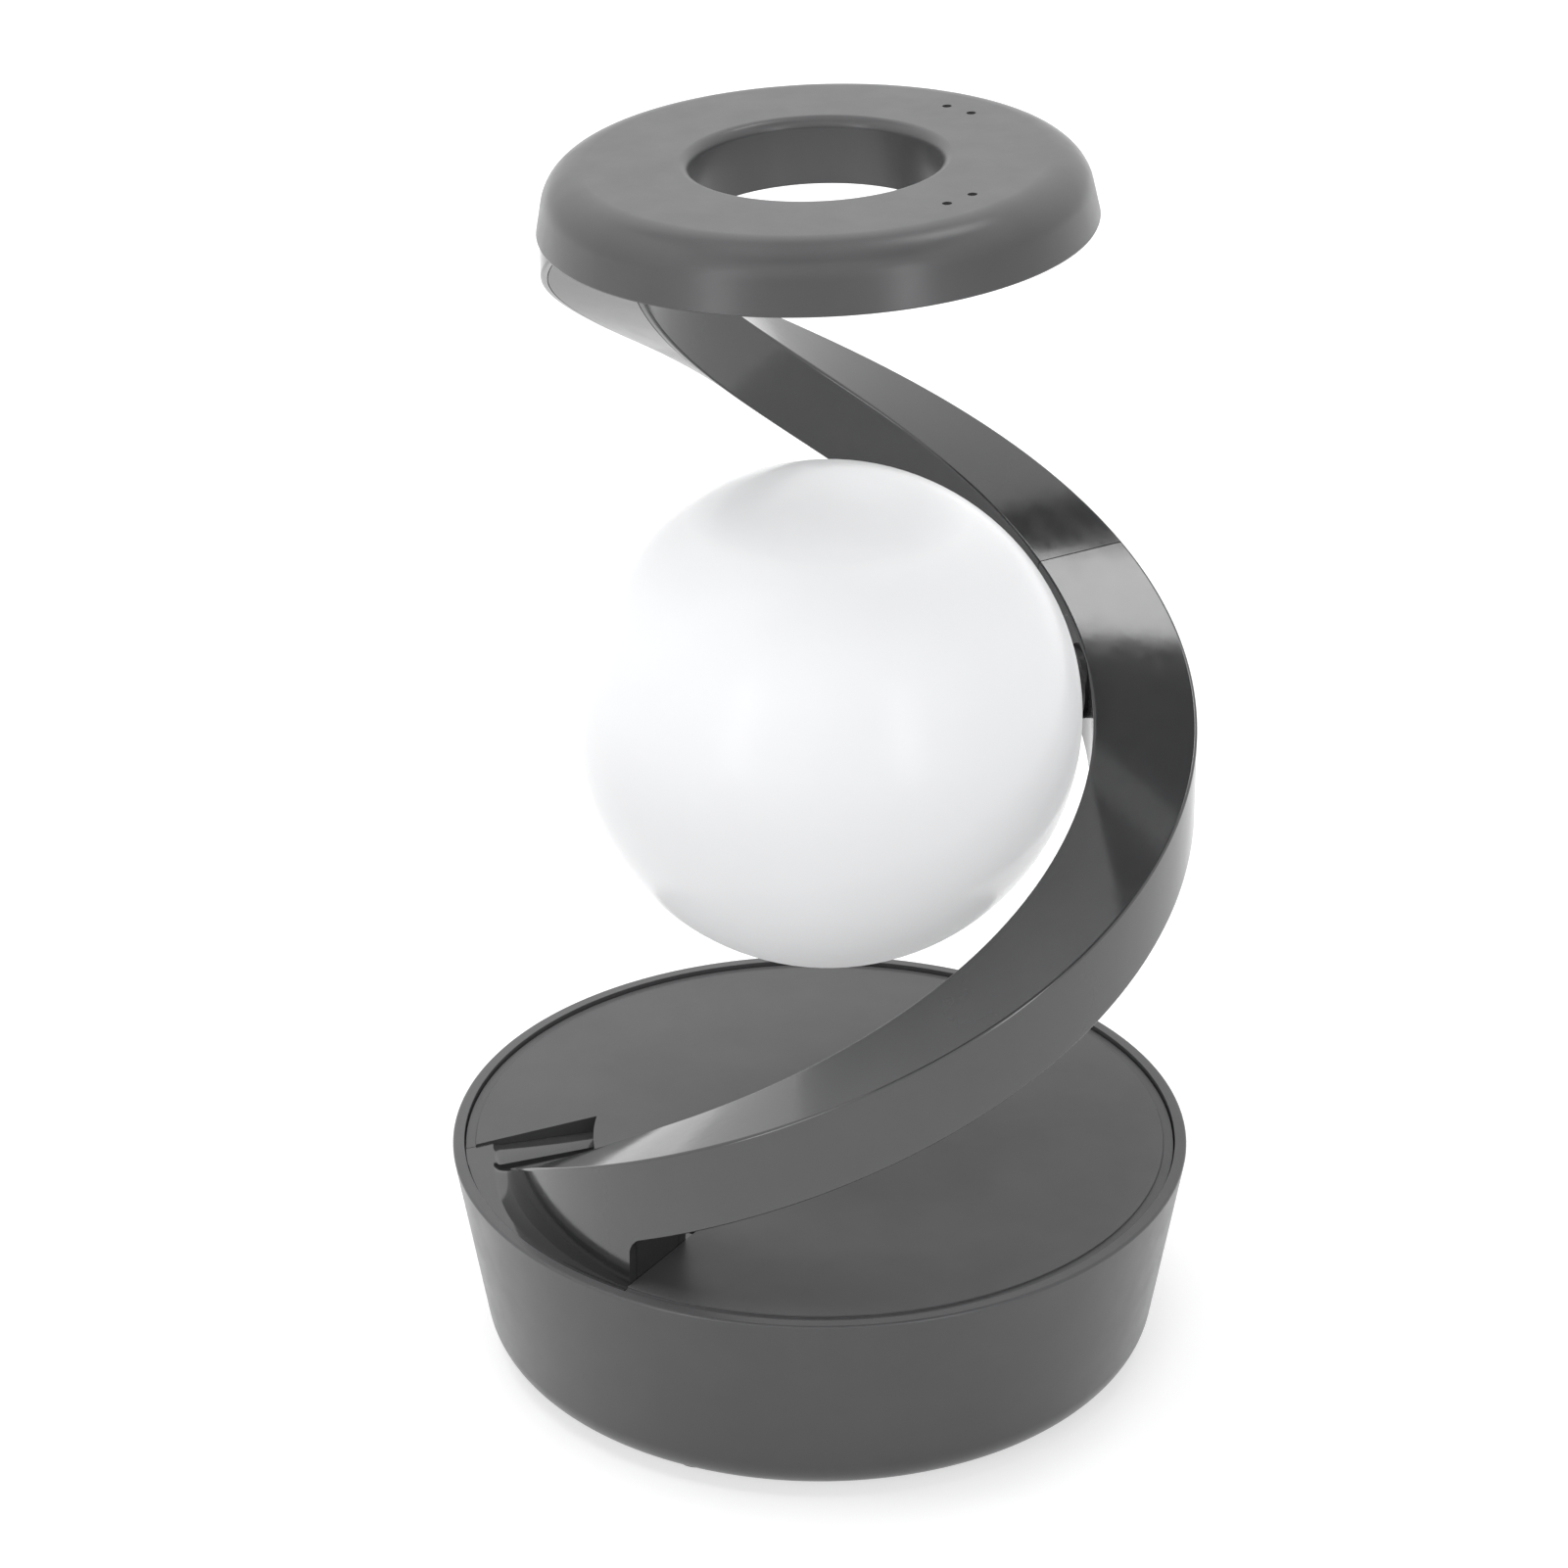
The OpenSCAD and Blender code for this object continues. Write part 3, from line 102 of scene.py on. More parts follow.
# ---------------------------------------------------------------- sizes of the scene alone
TURNS, SHARP = 320, 32                      # steps round a lathed piece, angle of a sharp edge
RIM_EDGE, SOFT_EDGE, GAP_EDGE = 0.5, 0.2, 0.12      # fillets of the base and the deck
ROUND = 0.6                                 # rounded edges of the band
ROOF_MIN, FACE_MIN, WALL_MIN = 0.8, 0.3, 1  # least thickness and heights where the arm is low
MOAT_DIP = 0.5
SIDE = 14                                   # points up the band's outer side
END_SHARES = [0, 0.01, 0.04, 0.1, 0.18, 0.3, 0.45, 0.62, 0.8, 1]
RAMP_DEPTH = [(3.3, 3.15), (0.25, 0.4)]     # inner and outer end, each at the edge and the step
RAMP_CROWN, RAMP_GRID = (0.5, 0.15), (64, 12)       # height at either end, points each way
RAMP_FADE_OUT, RAMP_SOFT, RAMP_LIFT = 0.5, 1.7, 0.3     # how it dies out at its outer end
STEP_OVERLAP = 0.05                         # the nose's cut reaches past the step by this
FLARE_END = 11.3                            # where the ring's flared side meets its shoulder
OUTSIDE, TOOL, PAST_DECK = 90, 70, 75       # sizes of cutting tools, past all that they cut
OVER, CLEAR, SUNK = 1, 5, 0.5               # overrun of a cut, room over it, overlap of a post


# ---------------------------------------------------------------- materials
NOISE_FROM, NOISE_TO = 0.3, 0.7             # nearly all of a noise lies between these


def nodes_of(name):
    """A new material, its node tree and its shader."""
    m = bpy.data.materials.new(name)
    m.use_nodes = True
    t = m.node_tree
    return m, t, t.nodes["Principled BSDF"]


def add(t, kind, **values):
    """A node in tree t. A value goes to the input of that name or else to the node's setting."""
    n = t.nodes.new(kind)
    for k, v in values.items():
        if k in n.inputs:
            n.inputs[k].default_value = v
        else:
            setattr(n, k, v)
    return n


def noise(t, size):
    """Noise whose features are about `size` millimetres, fixed to the object."""
    where = t.nodes.get("where") or add(t, "ShaderNodeTexCoord", name="where")
    n = add(t, "ShaderNodeTexNoise", Scale=1 / (size * MM), Detail=3, Roughness=0.55)
    t.links.new(where.outputs["Object"], n.inputs["Vector"])
    return n.outputs["Fac"]


def ranged(t, fac, to_min, to_max, from_min=NOISE_FROM, from_max=NOISE_TO):
    r = add(t, "ShaderNodeMapRange")
    for k, v in zip(("From Min", "From Max", "To Min", "To Max"),
                    (from_min, from_max, to_min, to_max)):
        r.inputs[k].default_value = v
    t.links.new(fac, r.inputs["Value"])
    return r.outputs["Result"]


def tinted(t, fac, dark, light):
    r = add(t, "ShaderNodeValToRGB")
    for element, place, tone in zip(r.color_ramp.elements, (NOISE_FROM, NOISE_TO), (dark, light)):
        element.position, element.color = place, (*tone, 1)
    t.links.new(fac, r.inputs["Fac"])
    return r.outputs["Color"]


def bumps(t, p, layers):
    """Bump from several noises, each (size in mm, height in mm)."""
    before = None
    for size, height in layers:
        b = add(t, "ShaderNodeBump", Strength=1.0, Distance=height * MM)
        t.links.new(noise(t, size), b.inputs["Height"])
        if before:
            t.links.new(before, b.inputs["Normal"])
        before = b.outputs["Normal"]
    t.links.new(before, p.inputs["Normal"])


def finish(name, dark, light, rough, layers, size, metal=0.0, **sockets):
    """A moulded or machined finish: tone and roughness wander a little, the skin has a grain."""
    m, t, p = nodes_of(name)
    p.inputs["Metallic"].default_value = metal
    for k, v in sockets.items():
        p.inputs[k.replace("_", " ")].default_value = v
    t.links.new(tinted(t, noise(t, size), dark, light), p.inputs["Base Color"])
    t.links.new(ranged(t, noise(t, size / 3), *rough), p.inputs["Roughness"])
    bumps(t, p, layers)
    return m


def grey(v):
    return (v, v, v * 1.02)


# Linear tones, roughness from and to, layers of grain as (size, height), size of the tone's patches
FINISHES = {
    "housing": dict(dark=grey(0.081), light=grey(0.091), rough=(0.28, 0.34),
                    layers=[(0.35, 0.004), (14, 0.03)], size=18),
    "deck": dict(dark=grey(0.076), light=grey(0.086), rough=(0.36, 0.42),
                 layers=[(0.3, 0.006), (20, 0.02)], size=22),
    "arm": dict(dark=grey(0.036), light=grey(0.042), rough=(0.10, 0.15),
                layers=[(11, 0.03), (1.5, 0.001)], size=14, Specular_IOR_Level=1.0),
    "arm_cover": dict(dark=grey(0.036), light=grey(0.042), rough=(0.15, 0.2),
                      layers=[(12, 0.03), (1.6, 0.001)], size=14, Specular_IOR_Level=1.0),
    "inner_plastic": dict(dark=grey(0.07), light=grey(0.09), rough=(0.42, 0.52),
                          layers=[(0.5, 0.01)], size=8),
    "rubber": dict(dark=grey(0.012), light=grey(0.02), rough=(0.7, 0.85),
                   layers=[(0.25, 0.02)], size=3),
    "steel": dict(dark=(0.5, 0.5, 0.51), light=(0.6, 0.6, 0.62), rough=(0.28, 0.4),
                  layers=[(0.2, 0.003)], size=2, metal=1.0),
    "black_steel": dict(dark=grey(0.02), light=grey(0.035), rough=(0.35, 0.5),
                        layers=[(0.2, 0.003)], size=2, metal=0.6),
    "weight": dict(dark=(0.25, 0.25, 0.26), light=(0.34, 0.34, 0.34), rough=(0.5, 0.7),
                   layers=[(0.6, 0.05), (4, 0.08)], size=5, metal=0.8),
    "ferrite": dict(dark=grey(0.025), light=grey(0.04), rough=(0.5, 0.65),
                    layers=[(0.3, 0.01)], size=3),
    "copper": dict(dark=(0.55, 0.22, 0.09), light=(0.66, 0.3, 0.13), rough=(0.25, 0.35),
                   layers=[(0.4, 0.03)], size=2, metal=1.0),
    "brass": dict(dark=(0.6, 0.43, 0.16), light=(0.68, 0.5, 0.2), rough=(0.22, 0.32),
                  layers=[(0.2, 0.002)], size=2, metal=1.0),
    "green_board": dict(dark=(0.012, 0.09, 0.035), light=(0.02, 0.12, 0.05), rough=(0.3, 0.45),
                        layers=[(0.8, 0.02)], size=3),
    "white_board": dict(dark=(0.74, 0.74, 0.72), light=(0.8, 0.8, 0.78), rough=(0.35, 0.45),
                        layers=[(0.8, 0.01)], size=3),
    "light_chips": dict(dark=(0.8, 0.62, 0.2), light=(0.86, 0.7, 0.28), rough=(0.15, 0.25),
                        layers=[(0.5, 0.01)], size=1),
    "diffuser": dict(dark=(0.78, 0.78, 0.75), light=(0.83, 0.83, 0.8), rough=(0.4, 0.5),
                     layers=[(0.3, 0.005), (9, 0.01)], size=12, Subsurface_Weight=0.3,
                     Subsurface_Scale=0.004),
    # the globe's emission colour is the colour of its painted fill glow, set up below
    "globe": dict(dark=(0.66, 0.665, 0.67), light=(0.69, 0.695, 0.70), rough=(0.2, 0.26),
                  layers=[(16, 0.015), (0.6, 0.0005)], size=25, Specular_IOR_Level=0.15,
                  Emission_Color=(0.99, 0.995, 1, 1)),
}
MATS = {name: finish(name, **values) for name, values in FINISHES.items()}
BLACKENED = ("pivot_bush", "pivot_washer", "pivot_nut", "pivot_axle")   # in black_steel


def painted_fill_glow(m):
    """Painted light: the opal shell glows a little all over, as a stand-in for fill light from
    below, and the glow fades out where the shell faces up, so its top stays darker.
    """
    glow, fade_from, fade_to = 0.37, 0.84, 1.04
    t = m.node_tree
    way = add(t, "ShaderNodeSeparateXYZ")
    t.links.new(add(t, "ShaderNodeNewGeometry").outputs["Normal"], way.inputs["Vector"])
    painted_glow_strength = ranged(t, way.outputs["Z"], glow, 0.0, fade_from, fade_to)
    t.links.new(painted_glow_strength, t.nodes["Principled BSDF"].inputs["Emission Strength"])


# painted light: the globe glows as a stand-in for fill light, except at its top
painted_fill_glow(MATS["globe"])


# ---------------------------------------------------------------- outlines
def polar(r, az):
    return r * math.cos(rad(az)), r * math.sin(rad(az))


def around(count, az, r):
    """Points at equal steps round the Z axis."""
    return [polar(r, az + 360 / count * k) for k in range(count)]


def arc(cx, cy, r, a0, a1, n):
    """Points on a circle from angle a0 to a1, in n steps."""
    return [(cx + r * math.cos(rad(a0 + (a1 - a0) * i / n)),
             cy + r * math.sin(rad(a0 + (a1 - a0) * i / n))) for i in range(n + 1)]


def filleted(corners, n=4):
    """A polygon from (x, y, fillet radius) corners, each rounded in n steps."""
    out = []
    for i, (x, y, r) in enumerate(corners):
        if r <= 0:
            out.append((x, y))
            continue
        p = Vector((x, y))
        u = Vector(corners[i - 1][:2]) - p
        v = Vector(corners[(i + 1) % len(corners)][:2]) - p
        half = u.angle(v) / 2
        d = min(r / math.tan(half), 0.49 * min(u.length, v.length))
        r = d * math.tan(half)
        a, b = p + u.normalized() * d, p + v.normalized() * d
        c = p + (u.normalized() + v.normalized()).normalized() * (r / math.sin(half))
        t0 = math.atan2(a.y - c.y, a.x - c.x)
        t1 = math.atan2(b.y - c.y, b.x - c.x)
        t1 += 2 * math.pi * round((t0 - t1) / (2 * math.pi))
        out += [(c.x + r * math.cos(t0 + (t1 - t0) * k / n),
                 c.y + r * math.sin(t0 + (t1 - t0) * k / n)) for k in range(n + 1)]
    return out


def oblong(x, y, r, n):
    """A rectangle 2x by 2y with rounded corners."""
    return filleted([(-x, -y, r), (x, -y, r), (x, y, r), (-x, y, r)], n)


# ---------------------------------------------------------------- meshes
def made(name, verts, faces, place=None):
    """A mesh object from millimetre points, closed and with its faces outwards."""
    me = bpy.data.meshes.new(name)
    me.from_pydata([tuple(v) for v in verts], [], [tuple(f) for f in faces])
    bm = bmesh.new()
    bm.from_mesh(me)
    bmesh.ops.remove_doubles(bm, verts=bm.verts, dist=1e-4)
    bmesh.ops.dissolve_degenerate(bm, edges=bm.edges, dist=1e-5)
    bmesh.ops.recalc_face_normals(bm, faces=bm.faces)
    if place is not None:
        bmesh.ops.transform(bm, matrix=place, verts=bm.verts)
    bmesh.ops.scale(bm, vec=(MM, MM, MM), verts=bm.verts)
    bm.to_mesh(me)
    bm.free()
    ob = bpy.data.objects.new(name, me)
    bpy.context.scene.collection.objects.link(ob)
    return ob


def lathe(name, outline, place=None):
    """A closed outline of (radius, height) turned round the Z axis."""
    n = len(outline)
    verts = [(r * math.cos(2 * math.pi * i / TURNS), r * math.sin(2 * math.pi * i / TURNS), z)
             for i in range(TURNS) for r, z in outline]
    faces = [(i * n + j, ((i + 1) % TURNS) * n + j,
              ((i + 1) % TURNS) * n + (j + 1) % n, i * n + (j + 1) % n)
             for i in range(TURNS) for j in range(n)]
    return made(name, verts, faces, place)


def prism(name, plan, z0, z1, place=None):
    """A solid from z0 to z1 over an outline in plan."""
    n = len(plan)
    verts = [(x, y, z0) for x, y in plan] + [(x, y, z1) for x, y in plan]
    faces = [tuple(range(n))[::-1], tuple(range(n, 2 * n))]
    faces += [(j, (j + 1) % n, n + (j + 1) % n, n + j) for j in range(n)]
    return made(name, verts, faces, place)


def rod(name, x, y, r, z0, z1, n=48, place=None):
    return prism(name, [(x + px, y + py) for px, py in arc(0, 0, r, 0, 360 - 360 / n, n - 1)],
                 z0, z1, place)


def half_space(name, size, place):
    """A big box that fills the space above local z = 0."""
    return prism(name, [(-size, -size), (size, -size), (size, size), (-size, size)], 0, size,
                 place)


def swept(name, rows, az):
    """A solid through closed rows of (radius, height) at the given azimuths."""
    n = len(rows[0])
    verts = [(*polar(r, a), z) for row, a in zip(rows, az) for r, z in row]
    faces = [(i * n + j, i * n + (j + 1) % n, (i + 1) * n + (j + 1) % n, (i + 1) * n + j)
             for i in range(len(rows) - 1) for j in range(n)]
    faces += [tuple(range(n))[::-1], tuple(range((len(rows) - 1) * n, len(rows) * n))]
    return made(name, verts, faces)


def slab(name, grid, z1):
    """A solid from a grid of points up to a height."""
    n, m = len(grid), len(grid[0])
    k = n * m
    verts = [p for row in grid for p in row] + [(p[0], p[1], z1) for row in grid for p in row]
    quads = [(i * m + j, (i + 1) * m + j, (i + 1) * m + j + 1, i * m + j + 1)
             for i in range(n - 1) for j in range(m - 1)]
    rim = ([i * m for i in range(n)] + [(n - 1) * m + j for j in range(1, m)]
           + [i * m + m - 1 for i in range(n - 2, -1, -1)] + list(range(m - 2, 0, -1)))
    return made(name, verts, quads + [tuple(v + k for v in q[::-1]) for q in quads]
                + [(a, b, b + k, a + k) for a, b in zip(rim, rim[1:] + rim[:1])])


def carve(ob, tool, how="DIFFERENCE"):
    """Cuts, joins or keeps the tool's shape. The tool is then removed."""
    mod = ob.modifiers.new("carve", "BOOLEAN")
    mod.operation, mod.object, mod.solver = how, tool, "EXACT"
    bpy.context.view_layer.update()
    dg = bpy.context.evaluated_depsgraph_get()
    me = bpy.data.meshes.new_from_object(ob.evaluated_get(dg))
    ob.modifiers.clear()
    old, ob.data = ob.data, me
    me.name = ob.name
    bpy.data.meshes.remove(old)
    bpy.data.objects.remove(tool)
    return ob


def shaded(me):
    """Smooth shading, with edges over an angle left sharp."""
    bm = bmesh.new()
    bm.from_mesh(me)
    for f in bm.faces:
        f.smooth = True
    for e in bm.edges:
        e.smooth = len(e.link_faces) == 2 and e.calc_face_angle(0) < rad(SHARP)
    bm.to_mesh(me)
    bm.free()


def dressed(ob, slot, body, *nodes):
    """Gives a piece its shading, finish and body. It stands for the nodes named, if any."""
    shaded(ob.data)
    mod = ob.modifiers.new("weights", "WEIGHTED_NORMAL")
    mod.keep_sharp = True
    ob.data.materials.clear()
    ob.data.materials.append(MATS[slot])
    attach(ob, body)
    if nodes:
        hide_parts(*nodes)


# ---------------------------------------------------------------- base
def side_r(z):
    """Outer radius of the flared side at a height."""
    return LOW_R + (BASE_R - LOW_R) * (z - FEET_OUT) / BASE_H


def base():
    slope = math.atan2(BASE_R - LOW_R, BASE_H)
    lean = 1 / math.cos(slope)
    centre = (LOW_R + EDGE_R * (math.tan(slope) - lean), FEET_OUT + EDGE_R)
    corner = arc(*centre, EDGE_R, -90, -deg(slope), 14)
    rim_in, shelf = DECK_R + DECK_GAP, DECK_Z - DECK_T
    shelf_in, shelf_low = DECK_R - SHELF_W, shelf - SHELF_H
    tub = [(COVER_HOLE_R, FEET_OUT + SOFT_EDGE), (COVER_HOLE_R + SOFT_EDGE, FEET_OUT)] + corner
    tub += filleted([(*corner[-1], 0), (BASE_R, RIM_Z, RIM_EDGE), (rim_in, RIM_Z, GAP_EDGE),
                     (rim_in, shelf, 0)], 5)[1:-1]
    tub += [(rim_in, shelf), (shelf_in, shelf), (shelf_in, shelf_low),
            (side_r(shelf_low) - BASE_WALL * lean, shelf_low)]
    tub += arc(*centre, EDGE_R - FLOOR_T, -deg(slope), -90, 8)
    tub += [(r, FEET_OUT + h) for r, h in [
        (COVER_RING_OUT, FLOOR_T), (COVER_RING_OUT, COVER_RING_TOP),
        (COVER_RING_IN, COVER_RING_TOP), (COVER_RING_IN, COVER_HOLE_T),
        (COVER_HOLE_R, COVER_HOLE_T)]]
    ob = lathe("base_housing", tub)
    face = side_r(INLET_Z) - INLET_DEEP
    back = Matrix.Translation((0, 0, INLET_Z)) @ Matrix.Rotation(rad(90), 4, "X")
    carve(ob, prism("tool", oblong(*INLET_RECESS, 6), -OUTSIDE, -face, back))
    carve(ob, prism("tool", oblong(*INLET_MOUTH, 8), -face - OVER, -INLET_END, back))
    for x, y in around(FEET, FEET_AZ, FEET_AT):
        carve(ob, rod("tool", x, y, PAD_R + FIT, -OVER, PAD_TOP))
    dressed(ob, "housing", "stand", "base_tub")


def foot_plan(gap, r_far, az_end):
    """Outline in plan of the opening for the arm's foot, grown by a gap."""
    p0, p1 = np.array(polar(CUT_IN, CUT_AZ0)), np.array(polar(DECK_R, CUT_AZ1))
    d = (p0 - p1) / np.linalg.norm(p0 - p1)
    q = p0 + gap * np.array([-d[1], d[0]])

    def azimuth_at(r, near):
        """Azimuth at which the straight edge meets a circle, at the point near the one given."""
        b, c = q @ d, q @ q - r * r
        ts = [-b - math.sqrt(b * b - c), -b + math.sqrt(b * b - c)]
        x, y = min((q + t * d for t in ts), key=lambda p: np.linalg.norm(p - near))
        return deg(math.atan2(y, x)) % 360
    a_in, a_out = azimuth_at(CUT_IN - gap, p0), azimuth_at(r_far, p1)
    end = az_end + deg(gap / CUT_IN)
    n = max(2, int(end - a_out))
    return arc(0, 0, r_far, a_out, end, n) + arc(0, 0, CUT_IN - gap, end, a_in, n)


def deck():
    z0, z1 = DECK_Z - DECK_T, DECK_Z + DECK_RISE
    step = DECK_R - DECK_EDGE
    edge = filleted([(-1, z0, 0), (DECK_R, z0, SOFT_EDGE), (DECK_R, DECK_Z, GAP_EDGE),
                     (step, DECK_Z, GAP_EDGE), (step, z1, SOFT_EDGE), (-1, z1, 0)])[1:-1]
    # rings of points on the flat keep its shading even
    flat = [(r, z1) for r in (60, 50, 38, 20, 0)]
    ob = lathe("charging_deck", [(0, z0)] + edge + flat)
    carve(ob, prism("tool", foot_plan(FIT, PAST_DECK, FOOT_END), z0 - OVER, z1 + CLEAR))
    for count, az, at, post_low in DECK_POSTS:
        for x, y in around(count, az, at):
            carve(ob, rod("tool", x, y, POST_R, post_low, z0 + SUNK), "UNION")
    dressed(ob, "deck", "stand", "deck")


# ---------------------------------------------------------------- arm
def share(x):
    """x held between 0 and 1."""
    return min(1, max(0, x))


def along(a, v):
    """A value at azimuth a, from its values at root, belly and head."""
    if a < BELLY:
        return v[0] + (v[1] - v[0]) * math.sin(math.pi / 2 * share((a - ROOT) / (BELLY - ROOT)))
    return v[1] + (v[2] - v[1]) * (1 - math.cos(math.pi * share((a - BELLY) / (HEAD - BELLY)))) / 2


def r_out(a):
    return along(a, ARM_R)


def r_in(a):
    return r_out(a) - along(a, WIDTH)


def top(a):
    dip = DIP * (1 - min(1, (a - ROOT) / DIP_TURN)) ** 2
    return ROOT_TOP + PITCH * (a - ROOT) / 360 - dip


def bottom(a):
    return ROOT_TOP + PITCH * (a - ROOT) / 360 - ARM_H


def under(a):
    """Lowest height of the lower length: its seat at the foot, then the rounded end."""
    if a <= FOOT_END + CHANGE:
        return SEAT
    s = share((a - END) / END_TURN)
    return bottom(a) - END_ROUND * (1 - math.sqrt(1 - (1 - s) ** 2))


def moat_at(a):
    """Outer radius of the hollow beside the foot."""
    return MOAT_R + MOAT_SPREAD * math.sin(math.pi / 2 * min(1, (a - ROOT) / MOAT_TURN))


def channel(start, ri, ro, z0, roof):
    """The band's hollow side, open below, with a rebate for the cover."""
    return [start, (ri + COVER_RIM, z0), (ri + COVER_RIM, z0 + COVER_T),
            (ri + WALL, z0 + COVER_T), (ri + WALL, roof), (ro - WALL, roof),
            (ro - WALL, z0 + COVER_T), (ro - COVER_RIM, z0 + COVER_T), (ro - COVER_RIM, z0)]


def crown(ri, ro, zt, e):
    """The band's top face with its two rounded edges."""
    return arc(ro - e, zt - e, e, 0, 90, 5) + arc(ri + e, zt - e, e, 90, 180, 5)


def flange_side(a, ro, zt):
    """Outer side at the foot: the flange's edge, then the hollow, which dips towards the arm."""
    w, h = moat_at(a) - ro, min(-MOAT_DIP, zt - FACE_MIN - DECK_Z)
    edge = [(DECK_R, SEAT), (DECK_R, DECK_Z - GAP_EDGE), (DECK_R - GAP_EDGE, DECK_Z)]
    last = SIDE - len(edge) - 1
    shares = [1 - i / last for i in range(last + 1)]
    return edge + [(ro + s * w, DECK_Z + h * (1 - s * s)) for s in shares]


def wall_side(ro, z0, wall_z, e):
    """Outer side past the foot: its lower edge, rounded by e, then the wall."""
    edge = arc(ro - e, z0 + e, e, -90, 0, 4) if e else [(ro, z0 + 1e-3 * i) for i in range(5)]
    n = SIDE - len(edge)
    return edge + [(ro, z0 + e + (wall_z - z0 - e) * (i + 1) / n) for i in range(n)]


def lower_section(a):
    """A section of the lower length. They all have the same number of points."""
    ri, ro, z0, zt = max(r_in(a), CUT_IN + FIT), r_out(a), under(a), top(a)
    wall_z = min(DECK_Z, zt - WALL_MIN) if a < END else zt - ARM_H / 4
    if a <= FOOT_END:
        start, side = (CUT_IN, z0), flange_side(a, ro, zt)
        face = zt - side[-1][1]
        inner = [(ri, wall_z), (CUT_IN, wall_z), (CUT_IN, (z0 + wall_z) / 2)]
    else:
        e = 0 if a < END else ROUND * min(1, max(0.02, (a - END) / END_TURN))
        start, side = (ri + e, z0), wall_side(ro, z0, wall_z, e)
        face = zt - wall_z
        inner = [(ri, wall_z), (ri, (z0 + wall_z) / 2), (ri, z0 + e + 0.01)]
    roof = min(max(zt - WALL, z0 + 2 * COVER_T), zt - ROOF_MIN)
    return (channel(start, ri, ro, z0, roof) + side + crown(ri, ro, zt, min(ROUND, face / 2))
            + inner)


def upper_section(a):
    """A section of the upper length."""
    ri, ro, z0, zt, e = r_in(a), r_out(a), bottom(a), top(a), ROUND
    return (channel((ri + e, z0), ri, ro, z0, zt - WALL) + arc(ro - e, z0 + e, e, -90, 0, 4)
            + crown(ri, ro, zt, e) + arc(ri + e, z0 + e, e, 180, 270, 4)[:-1])


def box_rows(az, gap, z0, z1):
    """Square sections of a cover, a gap inside the band's sides."""
    return [[(r_in(a) + gap(a), z0(a)), (r_out(a) - gap(a), z0(a)),
             (r_out(a) - gap(a), z1(a)), (r_in(a) + gap(a), z1(a))] for a in az]


def stations(a0, a1):
    """Azimuths from a0 to a1, at most a degree apart."""
    n = max(1, math.ceil(a1 - a0))
    return [a0 + (a1 - a0) * i / n for i in range(n + 1)]


GLOBE_AT = (Matrix.Translation(GLOBE) @ Matrix.Rotation(rad(PIVOT_AZ), 4, "Z")
            @ Matrix.Rotation(rad(90), 4, "Y"))
RING_AT = (Matrix.Translation((RING_X, 0, RING_Z)) @ Matrix.Rotation(rad(LEAN_Y), 4, "Y")
           @ Matrix.Rotation(rad(LEAN_X), 4, "X"))


def wall_on_pivot():
    """Distance from the globe's centre to the arm's inner wall, along the pivot."""
    s = GLOBE_R
    for _ in range(8):      # settles within a few rounds
        x, y = (GLOBE[0] + s * math.cos(rad(PIVOT_AZ)), GLOBE[1] + s * math.sin(rad(PIVOT_AZ)))
        s += r_in(360 + deg(math.atan2(y, x))) - math.hypot(x, y)
    return s


def arm():
    seam = deg(SEAM_GAP / r_out(SEAM)) / 2
    rise = stations(END + END_TURN, SEAM - seam)[1:]
    az = (stations(ROOT, FOOT_END) + [FOOT_END + CHANGE]
          + [END + s * END_TURN for s in END_SHARES] + rise)
    ob = swept("arm_lower", [lower_section(a) for a in az], az)
    s = wall_on_pivot()
    carve(ob, rod("tool", 0, 0, BUSH_HOLE_R, 0, s + 2 * WALL, place=GLOBE_AT))
    carve(ob, rod("tool", 0, 0, BUSH_RIM_R, 0, s, place=GLOBE_AT))
    dressed(ob, "arm", "stand", "arm_lower_shell")

    az = ([FOOT_END - COVER_REACH, FOOT_END, END + CHANGE / 2]
          + [END + max(CHANGE, s * END_TURN) for s in END_SHARES] + rise)
    rows = box_rows(az, lambda a: (WALL if a < END + CHANGE else COVER_RIM) + FIT, under,
                    lambda a: (bottom(a) if a <= FOOT_END else under(a)) + COVER_T)
    dressed(swept("arm_lower_plate", rows, az), "arm_cover", "stand", "arm_lower_cover")

    end = ROOT + (RING_Z + RING_SLACK - ROOT_TOP + ARM_H) / PITCH * 360
    az = stations(SEAM + seam, end)
    shell = [upper_section(a) for a in az]
    plate = box_rows(az, lambda a: COVER_RIM + FIT, bottom, lambda a: bottom(a) + COVER_T)
    for name, rows, slot, node in [("arm_upper", shell, "arm", "arm_upper_shell"),
                                   ("arm_upper_plate", plate, "arm_cover", "arm_upper_cover")]:
        ob = carve(swept(name, rows, az), half_space("tool", OUTSIDE, RING_AT))
        dressed(ob, slot, "stand", node)


# ---------------------------------------------------------------- ramp at the arm's foot
def turned(az, x, z, tilt_y=0, tilt_x=0):
    return (Matrix.Rotation(rad(az), 4, "Z") @ Matrix.Translation((x, 0, z))
            @ Matrix.Rotation(rad(tilt_y), 4, "Y") @ Matrix.Rotation(rad(tilt_x), 4, "X"))


def smooth(x):
    x = share(x)
    return x * x * (3 - 2 * x)


def between(corners, u, v):
    """Value at (u, v) between four corner values, given in two pairs."""
    (a, b), (c, d) = corners
    return (1 - u) * ((1 - v) * a + v * b) + u * ((1 - v) * c + v * d)


